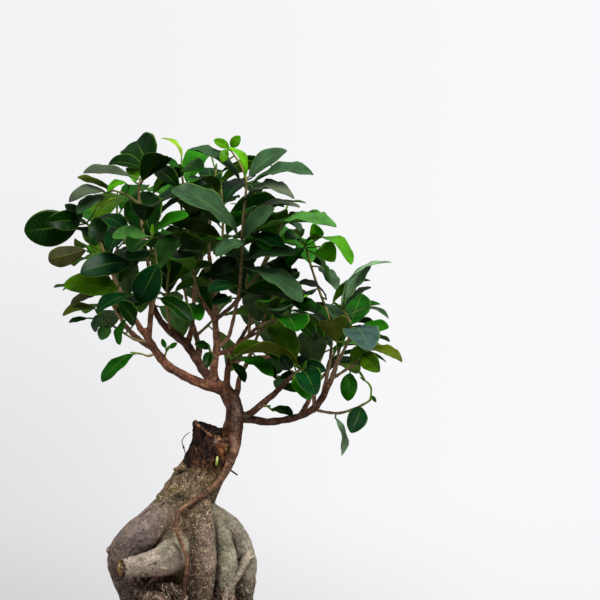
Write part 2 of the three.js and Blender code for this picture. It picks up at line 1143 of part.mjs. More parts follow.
// Round limb that tapers along its points; grow thickens it and lengthens both its ends
function limb(points, sides, spans, grow = 0) {
  const line = limbLine(points, spans);
  const places = [];
  let across = new THREE.Vector3(0, 1, 0.01).cross(line[0].along).normalize();
  line.forEach(({ centre, along, radius }, step) => {
    const end = step === 0 ? -grow : step === line.length - 1 ? grow : 0;
    across = across.addScaledVector(along, -across.dot(along)).normalize();
    const second = along.clone().cross(across);
    for (let side = 0; side < sides; side++) {
      const angle = (2 * Math.PI * side) / sides;
      places.push(
        centre
          .clone()
          .addScaledVector(along, end)
          .addScaledVector(across, (radius + grow) * Math.cos(angle))
          .addScaledVector(second, (radius + grow) * Math.sin(angle)),
      );
    }
  });
  return solidOfPoints(places, closedTube(line.length, sides));
}

// Superellipse that turns a round section of radius 1 into a rounded rectangle
function cornered(angle) {
  const cosine = Math.abs(Math.cos(angle)) ** POT.corner;
  const sine = Math.abs(Math.sin(angle)) ** POT.corner;
  return (cosine + sine) ** (-1 / POT.corner);
}

// Rounded-rectangular solid from a profile of [half length, height] points that starts and ends on the axis
function potShape(profile) {
  const geometry = new THREE.LatheGeometry(
    profile.map(([radius, height]) => new THREE.Vector2(radius, height)),
    POT.segments,
  );
  geometry.rotateX(Math.PI / 2);
  const position = geometry.attributes.position;
  for (let i = 0; i < position.count; i++) {
    const x = position.getX(i);
    const y = position.getY(i);
    const stretch = cornered(Math.atan2(y, x));
    position.setXY(i, x * stretch, (y * stretch * POT.halfWide) / POT.halfLong);
  }
  return solidOf(geometry);
}

// Half length of the pot's hollow at a height: a straight wall over a rounded bottom
function hollow(height) {
  const wall = POT.halfLong - POT.wall - POT.lipReach;
  const rise = Math.min(1, (height - POT.floor) / (POT.height - POT.lipHeight - POT.floor));
  return wall - POT.taper * (1 - Math.sqrt(rise));
}

const HOLLOW_HEIGHTS = [POT.floor, POT.floor + 4, POT.floor + 18, POT.height - POT.lipHeight];

function makePot() {
  const foot = POT.halfLong - POT.footInset;
  const under = POT.height - POT.lipHeight;
  const skin = (height) => [hollow(height) + POT.wall, height - POT.skinUnderFloor];
  const inside = HOLLOW_HEIGHTS.map((height) => [hollow(height), height]).reverse();
  const bowl = potShape([
    [0, 0],
    [foot, 0],
    [foot, POT.footHeight],
    [foot + POT.footStep, POT.footHeight],
    ...HOLLOW_HEIGHTS.slice(1).map(skin),
    [POT.halfLong, under + POT.lipSlope],
    [POT.halfLong, POT.height],
    [hollow(under), POT.height],
    ...inside,
    [0, POT.floor],
  ]);
  const drain = new THREE.CylinderGeometry(DRAIN.radius, DRAIN.radius, 3 * POT.floor, DRAIN.sides);
  drain.rotateX(Math.PI / 2);
  const drains = [-DRAIN.offset, DRAIN.offset].map((x) => solidOf(drain.clone().translate(x, 0, 0)));
  return bowl.subtract(union(drains));
}

// Height of the soil at a distance from the middle of the pot
function soilTop(radius) {
  return SOIL_EDGE + SOIL_RISE * Math.exp(-((radius / SOIL_RISE_WIDTH) ** SOIL_RISE_POWER));
}

function makeSoil() {
  const wallHeights = HOLLOW_HEIGHTS.slice(0, -1).map((height) => height + SEAT);
  const rim = hollow(SOIL_EDGE) - 2 * SEAT;
  const top = [1, 0.72, 0.56, 0.42, 0.22].map((share) => [rim * share, soilTop(rim * share)]);
  return potShape([
    [0, POT.floor + SEAT],
    ...wallHeights.map((height) => [hollow(height - SEAT) - 2 * SEAT, height]),
    ...top,
    [0, soilTop(0)],
  ]);
}

function rootstockSolid(grow) {
  return union(Object.values(ROOTS).map((points) => limb(points, ROOT_SIDES, 1, grow)));
}

// Block whose underside is the sloping saw cut across the stump
function sawnOff() {
  const size = 120;
  const block = new THREE.BoxGeometry(size, size, size);
  block.translate(0, 0, size / 2);
  block.rotateY(STUMP_CUT.tilt);
  block.translate(STUMP_CUT.across, 0, STUMP_CUT.up);
  return solidOf(block);
}

function scionSolid(grow) {
  const sides = (name) => (name === "aerialRoot" ? AERIAL_SIDES : BRANCH_SIDES);
  return union(Object.entries(SCION).map(([name, points]) => limb(points, sides(name), 1, grow)));
}

// Turn of a blade round its own length that shows the given width, with its upper side as high as it can be
function facing(along, width, shown) {
  const sideways = along.clone().cross(SIGHT).normalize();
  const forwards = sideways.clone().cross(along);
  if (forwards.dot(SIGHT) > 0) forwards.negate();
  const cosine = Math.min(1, Math.abs(shown) / width);
  const sine = Math.sqrt(1 - cosine * cosine);
  const outwards = forwards.multiplyScalar(shown < 0 ? -cosine : cosine);
  const lift = sideways.multiplyScalar(sideways.z < 0 ? -sine : sine);
  return outwards.add(lift).normalize();
}

// One leaf: a blade from base to tip that arches towards its upper side, on a petiole from root
function leafSolids({ root, base, tip, width, upper, arch, outline }) {
  const along = tip.clone().sub(base);
  const length = along.length();
  along.normalize();
  const across = upper.clone().cross(along).normalize();
  const stalk = base.clone().sub(root).normalize();
  const ring = (centre, halfWidth, lift, keel, sideDirection, upperDirection) => {
    const edge = upperDirection.clone().multiplyScalar(lift);
    return [
      centre.clone().addScaledVector(sideDirection, halfWidth).add(edge),
      centre.clone().addScaledVector(sideDirection, -halfWidth).add(edge),
      centre.clone().addScaledVector(upperDirection, -keel),
    ];
  };
  const stalkRing = (centre, direction, radius) => {
    const side = upper.clone().cross(direction);
    if (side.length() < 0.3) side.copy(along).cross(direction);
    side.normalize();
    const top = direction.clone().cross(side);
    return ring(centre, radius, radius / 2, radius, side, top);
  };
  const bladeRings = outline.map(([share, spread]) => {
    const halfWidth = (width / 2) * spread;
    const raised = 4 * share * (1 - share) * arch * length;
    const centre = base.clone().addScaledVector(along, share * length).addScaledVector(upper, raised);
    const keel = BLADE_THICKNESS / 2 + BLADE_KEEL * halfWidth;
    return ring(centre, halfWidth, BLADE_THICKNESS / 2, keel, across, upper);
  });
  const joint = stalkRing(base, stalk.clone().add(along).normalize(), PETIOLE_RADIUS);
  const closed = (rings) => {
    const count = rings.length;
    const last = (count - 1) * BLADE_SIDES;
    const triangles = tube(count, BLADE_SIDES);
    triangles.push(0, 2, 1);
    for (let side = 0; side < BLADE_SIDES; side++) {
      triangles.push(last + side, last + ((side + 1) % BLADE_SIDES), count * BLADE_SIDES);
    }
    return solidOfPoints([...rings.flat(), tip], triangles);
  };
  return {
    blade: closed([joint, ...bladeRings]),
    whole: closed([stalkRing(root, stalk, PETIOLE_ROOT_RADIUS), joint, ...bladeRings]),
  };
}

// Nearest point of a shoot's twigs to a place, kept off the twigs' ends
function nearestOn(lines, place) {
  let best = lines[0][0].centre;
  for (const line of lines) {
    for (let step = 1; step < line.length; step++) {
      const piece = new THREE.Line3(line[step - 1].centre, line[step].centre);
      const margin = TWIG_END_MARGIN / piece.distance();
      const first = step === 1 ? margin : 0;
      const last = step === line.length - 1 ? 1 - margin : 1;
      const share = THREE.MathUtils.clamp(piece.closestPointToPointParameter(place, true), first, last);
      const point = piece.at(share, new THREE.Vector3());
      if (point.distanceTo(place) < best.distanceTo(place)) best = point;
    }
  }
  return best;
}

// A leaf of the list, moved along the line of sight by one of the depths to try
function listedLeaf(row, lines, attempt) {
  const [baseAcross, baseUp, tipAcross, tipUp, baseDepth, tipDepth, shown, arch = BLADE_ARCH] = row;
  const shift = DEPTH_TRIES[attempt];
  const base = seen(baseAcross, baseDepth + shift, baseUp);
  const tip = seen(tipAcross, tipDepth + shift, tipUp);
  const along = tip.clone().sub(base);
  const width = Math.max(Math.abs(shown), BLADE_SLENDERNESS * along.length());
  const upper = facing(along.normalize(), width, shown);
  const outline = Math.abs(shown) < BROAD_VIEW ? PLAIN_OUTLINE : FINE_OUTLINE;
  return { root: nearestOn(lines, base), base, tip, width, upper, arch, outline };
}

// A leaf set by rule: the golden angle round the twig, leaning outwards and drooping
function ruledLeaf(line, index, count, seed, attempt) {
  const share = THREE.MathUtils.lerp(...RULED.stretch, (index + 0.5) / count);
  const place = share * (line.length - 1);
  const before = Math.min(Math.floor(place), line.length - 2);
  const root = line[before].centre.clone().lerp(line[before + 1].centre, place - before);
  const twig = line[before].along;
  const first = twig.clone().cross(SIGHT).normalize();
  const second = twig.clone().cross(first);
  const angle = seed + index * GOLDEN_ANGLE + attempt * RULED.retryTurn;
  const out = first.clone().multiplyScalar(Math.cos(angle)).addScaledVector(second, Math.sin(angle));
  const stalk = out.clone().addScaledVector(twig, RULED.petioleForward);
  stalk.addScaledVector(UP, RULED.petioleRise).normalize();
  const base = root.clone().addScaledVector(stalk, between(RULED.petiole, seed + 3 * index));
  const droop = between(RULED.droop, seed + 5 * index + attempt);
  const along = out.clone().addScaledVector(twig, RULED.bladeForward).addScaledVector(UP, -droop).normalize();
  const length = between(RULED.length, seed + 7 * index) * (1 - RULED.retryShrink * attempt);
  const tip = base.clone().addScaledVector(along, length);
  const roll = between(RULED.roll, seed + 11 * index);
  const upper = UP.clone().addScaledVector(out, RULED.faceOutward).addScaledVector(second, roll);
  upper.addScaledVector(along, -upper.dot(along)).normalize();
  const width = length * between(RULED.slenderness, seed + 13 * index);
  const arch = between(RULED.arch, seed + 17 * index);
  return { root, base, tip, width, upper, arch, outline: PLAIN_OUTLINE };
}

function boxesNear(a, b) {
  return [0, 1, 2].every(
    (axis) => a.min[axis] - LEAF_CLEARANCE < b.max[axis] && b.min[axis] - LEAF_CLEARANCE < a.max[axis],
  );
}

function tooClose(a, b) {
  return boxesNear(a.boundingBox(), b.boundingBox()) && a.minGap(b, LEAF_CLEARANCE) < LEAF_CLEARANCE;
}

// A leaf may cross its own shoot's twigs and petioles, but no other blade and no other piece
function isClear(leaf, shoot, grown, wood) {
  if (wood.some((piece) => tooClose(leaf.blade, piece))) return false;
  return grown.every((other) => {
    if (other === shoot) return other.leaves.every((sister) => !tooClose(leaf.blade, sister.blade));
    if (other.twigs.some((twig) => tooClose(leaf.whole, twig))) return false;
    return other.leaves.every((sister) => !tooClose(leaf.whole, sister.whole));
  });
}

// First try of a leaf that is clear of everything, or nothing
function placeLeaf(tries, make, shoot, grown, wood) {
  for (let attempt = 0; attempt < tries; attempt++) {
    const leaf = leafSolids(make(attempt));
    if (isClear(leaf, shoot, grown, wood)) {
      shoot.leaves.push(leaf);
      return;
    }
  }
}

function growShoots(wood) {
  const grown = Object.entries(SHOOTS).map(([name, { twigs, leaves = [], rule = 0, turn = 0 }]) => ({
    name: `spray_${name.replace(/[A-Z]/g, (letter) => `_${letter.toLowerCase()}`)}`,
    lines: twigs.map((points) => limbLine(points, 2)),
    twigs: twigs.map((points) => limb(points, TWIG_SIDES, 1)),
    rows: leaves,
    rule,
    seed: turn,
    leaves: [],
  }));
  for (const shoot of grown) {
    for (const row of shoot.rows) {
      const make = (attempt) => listedLeaf(row, shoot.lines, attempt);
      placeLeaf(DEPTH_TRIES.length, make, shoot, grown, wood);
    }
  }
  for (const shoot of grown) {
    for (let index = 0; index < shoot.rule; index++) {
      const make = (attempt) => ruledLeaf(shoot.lines[0], index, shoot.rule, shoot.seed, attempt);
      placeLeaf(RULED.tries, make, shoot, grown, wood);
    }
  }
  return grown;
}

const MATERIALS = {
  pot: new THREE.MeshStandardMaterial({ color: 0x3b3632, roughness: 0.7, metalness: 0 }),
  soil: new THREE.MeshStandardMaterial({ color: 0x3a2d22, roughness: 1, metalness: 0 }),
  rootstock: new THREE.MeshStandardMaterial({ color: 0x9c8f78, roughness: 0.8, metalness: 0 }),
  scion: new THREE.MeshStandardMaterial({ color: 0x5e4433, roughness: 0.7, metalness: 0 }),
  leaf: new THREE.MeshStandardMaterial({ color: 0x1f5a1e, roughness: 0.35, metalness: 0 }),
};

const bonsai = new THREE.Group();

function addNode(name, solid, material) {
  const mesh = new THREE.Mesh(geometryOf(solid), material);
  mesh.name = name;
  bonsai.add(mesh);
}

const scion = scionSolid(0);
const scionRoom = scionSolid(SEAT);
const rootstock = largest(rootstockSolid(0).subtract(sawnOff()).subtract(scionRoom));
const soil = largest(makeSoil().subtract(rootstockSolid(SEAT)).subtract(scionRoom));

addNode("pot", makePot(), MATERIALS.pot);
addNode("soil", soil, MATERIALS.soil);
addNode("rootstock", rootstock, MATERIALS.rootstock);
addNode("scion", scion, MATERIALS.scion);
for (const shoot of growShoots([scion, rootstock])) {
  const whole = union([...shoot.twigs, ...shoot.leaves.map((leaf) => leaf.whole)]);
  addNode(shoot.name, largest(whole.subtract(scionRoom)), MATERIALS.leaf);
}

export default bonsai;
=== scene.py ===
# Ficus bonsai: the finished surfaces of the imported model's pot, soil, roots, branches and leafy shoots
import math

import bmesh
import bpy
import numpy as np
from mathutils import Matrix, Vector
from mathutils import noise as field
from mathutils.kdtree import KDTree


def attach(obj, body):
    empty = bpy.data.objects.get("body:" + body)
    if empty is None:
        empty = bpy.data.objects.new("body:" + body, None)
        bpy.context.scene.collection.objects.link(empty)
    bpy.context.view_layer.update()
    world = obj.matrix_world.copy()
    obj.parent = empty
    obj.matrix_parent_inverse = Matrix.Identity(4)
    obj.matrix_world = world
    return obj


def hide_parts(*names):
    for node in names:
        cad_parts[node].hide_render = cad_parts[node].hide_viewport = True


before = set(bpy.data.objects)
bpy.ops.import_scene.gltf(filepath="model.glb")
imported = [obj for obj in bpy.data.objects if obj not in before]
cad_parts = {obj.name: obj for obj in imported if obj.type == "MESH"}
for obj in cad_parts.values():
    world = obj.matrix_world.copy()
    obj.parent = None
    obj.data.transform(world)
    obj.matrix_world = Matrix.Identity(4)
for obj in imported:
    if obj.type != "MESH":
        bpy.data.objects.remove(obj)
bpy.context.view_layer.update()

# Lengths are millimetres until a mesh is made
MM = 0.001
UP = np.array([0.0, 0.0, 1.0])
SIGHT = np.array([0.0, 1.0, 0.0])

# The plant is laid out as it looks from the front, to an eye this far before the trunk
EYE = {"across": 115, "up": 400, "back": 1500}

# Pot and soil, as in the model
POT = {
    "half_long": 108,
    "half_wide": 84,
    "height": 80,
    "wall": 6,
    "lip_height": 12,
    "lip_reach": 5,
    "lip_slope": 2,
    "floor": 18,
    "taper": 14,
    "skin_under_floor": 4,
    "foot_height": 9,
    "foot_inset": 30,
    "foot_step": 8,
    "corner": 3.2,
}
DRAIN = {"radius": 7, "offset": 48}
SOIL_EDGE = 72
SOIL_RISE = 52
SOIL_RISE_WIDTH = 54
SOIL_RISE_POWER = 4
STUMP_CUT = {"across": 26, "up": 274.5, "tilt": 0.26}

# Leaves, as in the model
BLADE_SLENDERNESS = 0.46
BLADE_ARCH = 0.1
TWIG_END_MARGIN = 2
DEPTH_TRIES = [0, 7, -7, 14, -14, 21, -21, 28, -28, 36, -36, 45, -45]
GOLDEN_ANGLE = 2.39996
RULED = {
    "stretch": (0.3, 0.96),
    "petiole": (7, 12),
    "length": (44, 62),
    "slenderness": (0.47, 0.57),
    "arch": (0.06, 0.14),
    "droop": (-0.1, 0.4),
    "roll": (-0.45, 0.45),
    "petiole_forward": 0.6,
    "petiole_rise": 0.25,
    "blade_forward": 0.45,
    "face_outward": 0.35,
    "retry_turn": 0.71,
    "retry_shrink": 0.02,
    "tries": 14,
}

# Roots and branches. Each point is (across, depth, up, radius).
ROOTS = {
    "stump": [
        (31, 6, 290, 22), (30, 6, 270, 22.5), (26.5, 6, 250, 22.5), (19.5, 6, 232, 23.5),
        (8.5, 5, 212, 25.5), (0, 5, 192, 30), (1, 6, 168, 37), (2, 8, 140, 38), (2, 8, 112, 30),
        (2, 6, 82, 20), (2, 6, 52, 9),
    ],
    "left": [
        (6, -4, 216, 13), (-9, -8, 198, 15.5), (-25, -12, 181, 17.5), (-43, -14, 166, 17.8),
        (-58, -12, 152, 16), (-64, -8, 139, 13.5), (-60, -2, 122, 13), (-54, 2, 106, 12.5), (-51, 6, 84, 9),
        (-50, 8, 56, 4),
    ],
    "cut": [
        (14, -16, 158, 15), (0, -23, 150, 18), (-10, -28, 146, 17.5), (-22, -34, 139, 15),
        (-36, -41, 135.5, 12.3), (-50, -48, 133, 10.5), (-64, -55, 131.5, 9),
    ],
    "front_middle": [
        (14, -14, 198, 13), (16, -24, 170, 14.5), (17, -30, 148, 14.5), (16.5, -33, 122, 13.5),
        (14.5, -33, 104, 12.5), (14, -31, 82, 8), (14, -28, 54, 3.5),
    ],
    "front_right": [
        (28, -10, 186, 12), (38, -17, 156, 11.5), (42, -22, 132, 11.5), (40, -21, 112, 10.5),
        (39, -18, 84, 7), (38, -16, 58, 3),
    ],
    "right": [
        (6, 0, 199, 13), (22, -2, 186, 13.5), (37, -5, 178, 12), (48.5, -6, 168, 11), (56, -5, 155, 10.8),
        (61, -3, 142, 10.5), (62, -1, 127, 10), (60, 1, 110, 9.5), (60, 3, 92, 8), (57, 6, 56, 3.5),
    ],
    "crossing": [
        (66, -8, 150, 3.5), (61, -15, 140, 4.8), (53, -22, 127, 5), (46, -27, 113, 4.8), (40, -30, 98, 4.2),
        (37, -30, 80, 3),
    ],
    "back_left": [
        (-8, 16, 188, 22), (-26, 32, 158, 18), (-38, 44, 130, 14), (-42, 50, 104, 11), (-42, 52, 76, 7),
        (-41, 52, 54, 4),
    ],
    "back_middle": [(4, 18, 180, 20), (4, 40, 152, 16), (2, 52, 124, 12.5), (1, 55, 96, 9), (2, 54, 64, 5)],
    "back_right": [
        (16, 14, 184, 19), (36, 28, 156, 16), (48, 38, 128, 12.5), (52, 42, 100, 9), (51, 42, 72, 6),
        (50, 41, 54, 3.5),
    ],
}

SCION = {
    "stem": [
        (37, 0, 317, 6), (42, 0, 307, 8), (48, 0, 297, 8.8), (50, -2, 284, 8.6), (50, -5, 268, 7.6),
        (49.5, -13, 250, 4.8), (44, -19, 235, 3.6),
    ],
    "aerial_root": [
        (49.5, -12, 251, 4.4), (44, -19, 235, 4.2), (37, -23, 222, 3.4), (24, -26, 210, 2.9),
        (10, -30, 200, 2.6), (-1, -35, 193, 2.3), (-8, -37, 183, 2.1), (-8, -42, 169, 2), (-3, -47, 155, 2),
        (2, -50, 142, 2), (2, -50, 131, 2), (0, -48, 119, 1.9), (-1, -40, 98, 1.7), (0, -38, 62, 1.2),
    ],
    "graft": [(49, 1, 290, 7), (45, 4, 272, 7), (39, 5, 256, 4)],
    "a": [
        (37, 0, 311, 6.2), (25, -4, 314, 5.4), (10, -10, 319, 4.7), (-5, -16, 326.5, 4.5),
        (-17, -21, 334, 4.4), (-28, -27, 347, 4.2), (-36, -31, 360, 3.9), (-41, -33, 371, 3),
    ],
    "a_left": [(-37, -31, 363, 3), (-45, -32, 372, 2.8), (-49, -34, 380, 2.6), (-54, -36, 386, 2.2)],
    "a_up": [(-36, -31, 362, 2.8), (-35, -30, 376, 2.6), (-34, -30, 391, 2.3), (-34, -32, 407, 2)],
    "a_back": [(-30, -26, 350, 3), (-48, -5, 362, 2.6), (-62, 20, 378, 2.3), (-72, 45, 398, 2)],
    "b": [
        (35, 4, 314, 5.2), (22, 10, 325, 4.8), (12, 18, 340, 4.4), (1, 27, 356, 4.4), (-13, 34, 368, 4.5),
        (-25, 40, 380, 3.2), (-35, 48, 402, 2.4),
    ],
    "b_up": [(2, 26, 354, 3), (6, 28, 369, 2.7), (8, 28, 384, 2.4), (9, 26, 396, 2.1)],
    "b_back": [(12, 18, 340, 3.6), (14, 45, 352, 3.2), (10, 70, 368, 2.6), (4, 92, 388, 2.1)],
    "c": [
        (33, 3, 312, 4.6), (29, 5, 323, 4.4), (29, 8, 337, 4.1), (32, 10, 352, 3.8), (30, 14, 380, 3),
        (30, 18, 399, 2.6), (24, 26, 445, 1.9),
    ],
    "c_front": [(30, 14, 380, 2.6), (22, 0, 391, 2.2), (14, -14, 404, 1.9)],
    "c_right": [
        (31, 9, 346, 2.6), (43, 4, 349, 2.2), (51, 0, 354, 2.1), (58, -4, 359, 2), (65, -8, 366, 1.9),
        (73, -12, 373, 1.7),
    ],
    "c_back": [(30, 14, 380, 2.4), (45, 34, 392, 2.2), (60, 55, 408, 2), (74, 72, 428, 1.7)],
    "d": [
        (42, 6, 306, 4), (42, 12, 320, 3.5), (43, 18, 332, 3.1), (46, 26, 344, 2.7), (54, 40, 358, 2.3),
        (62, 58, 372, 2),
    ],
    "e": [(51, 3, 302, 3.2), (53, 4, 312, 2.7), (54, 6, 320, 2.5), (60, 5, 333, 2.2), (66, 2, 347, 2)],
    "f": [
        (54, 0, 283, 3.8), (66, -5, 287, 3.5), (77, -11, 296, 3.2), (90, -19, 307, 2.9),
        (106, -30, 323, 2.2),
    ],
    "g": [
        (48, 0, 283, 5), (65, 1, 281, 4.2), (80, 2, 278, 3.8), (97, 3, 279.5, 3.4), (115, 1, 284, 3.3),
        (128, -1, 291, 3.7), (137, -3, 302, 3.3), (145, -6, 318, 2.8), (150, -9, 330, 2.3),
        (151, -11, 340, 1.9),
    ],
    "g_back": [(115, 1, 284, 2.8), (122, 20, 296, 2.4), (128, 42, 312, 2.1), (132, 62, 332, 1.8)],
    "d_back": [(44, 20, 337, 2.6), (58, 40, 341, 2.3), (73, 58, 342, 2.1), (88, 70, 344, 1.8)],
}

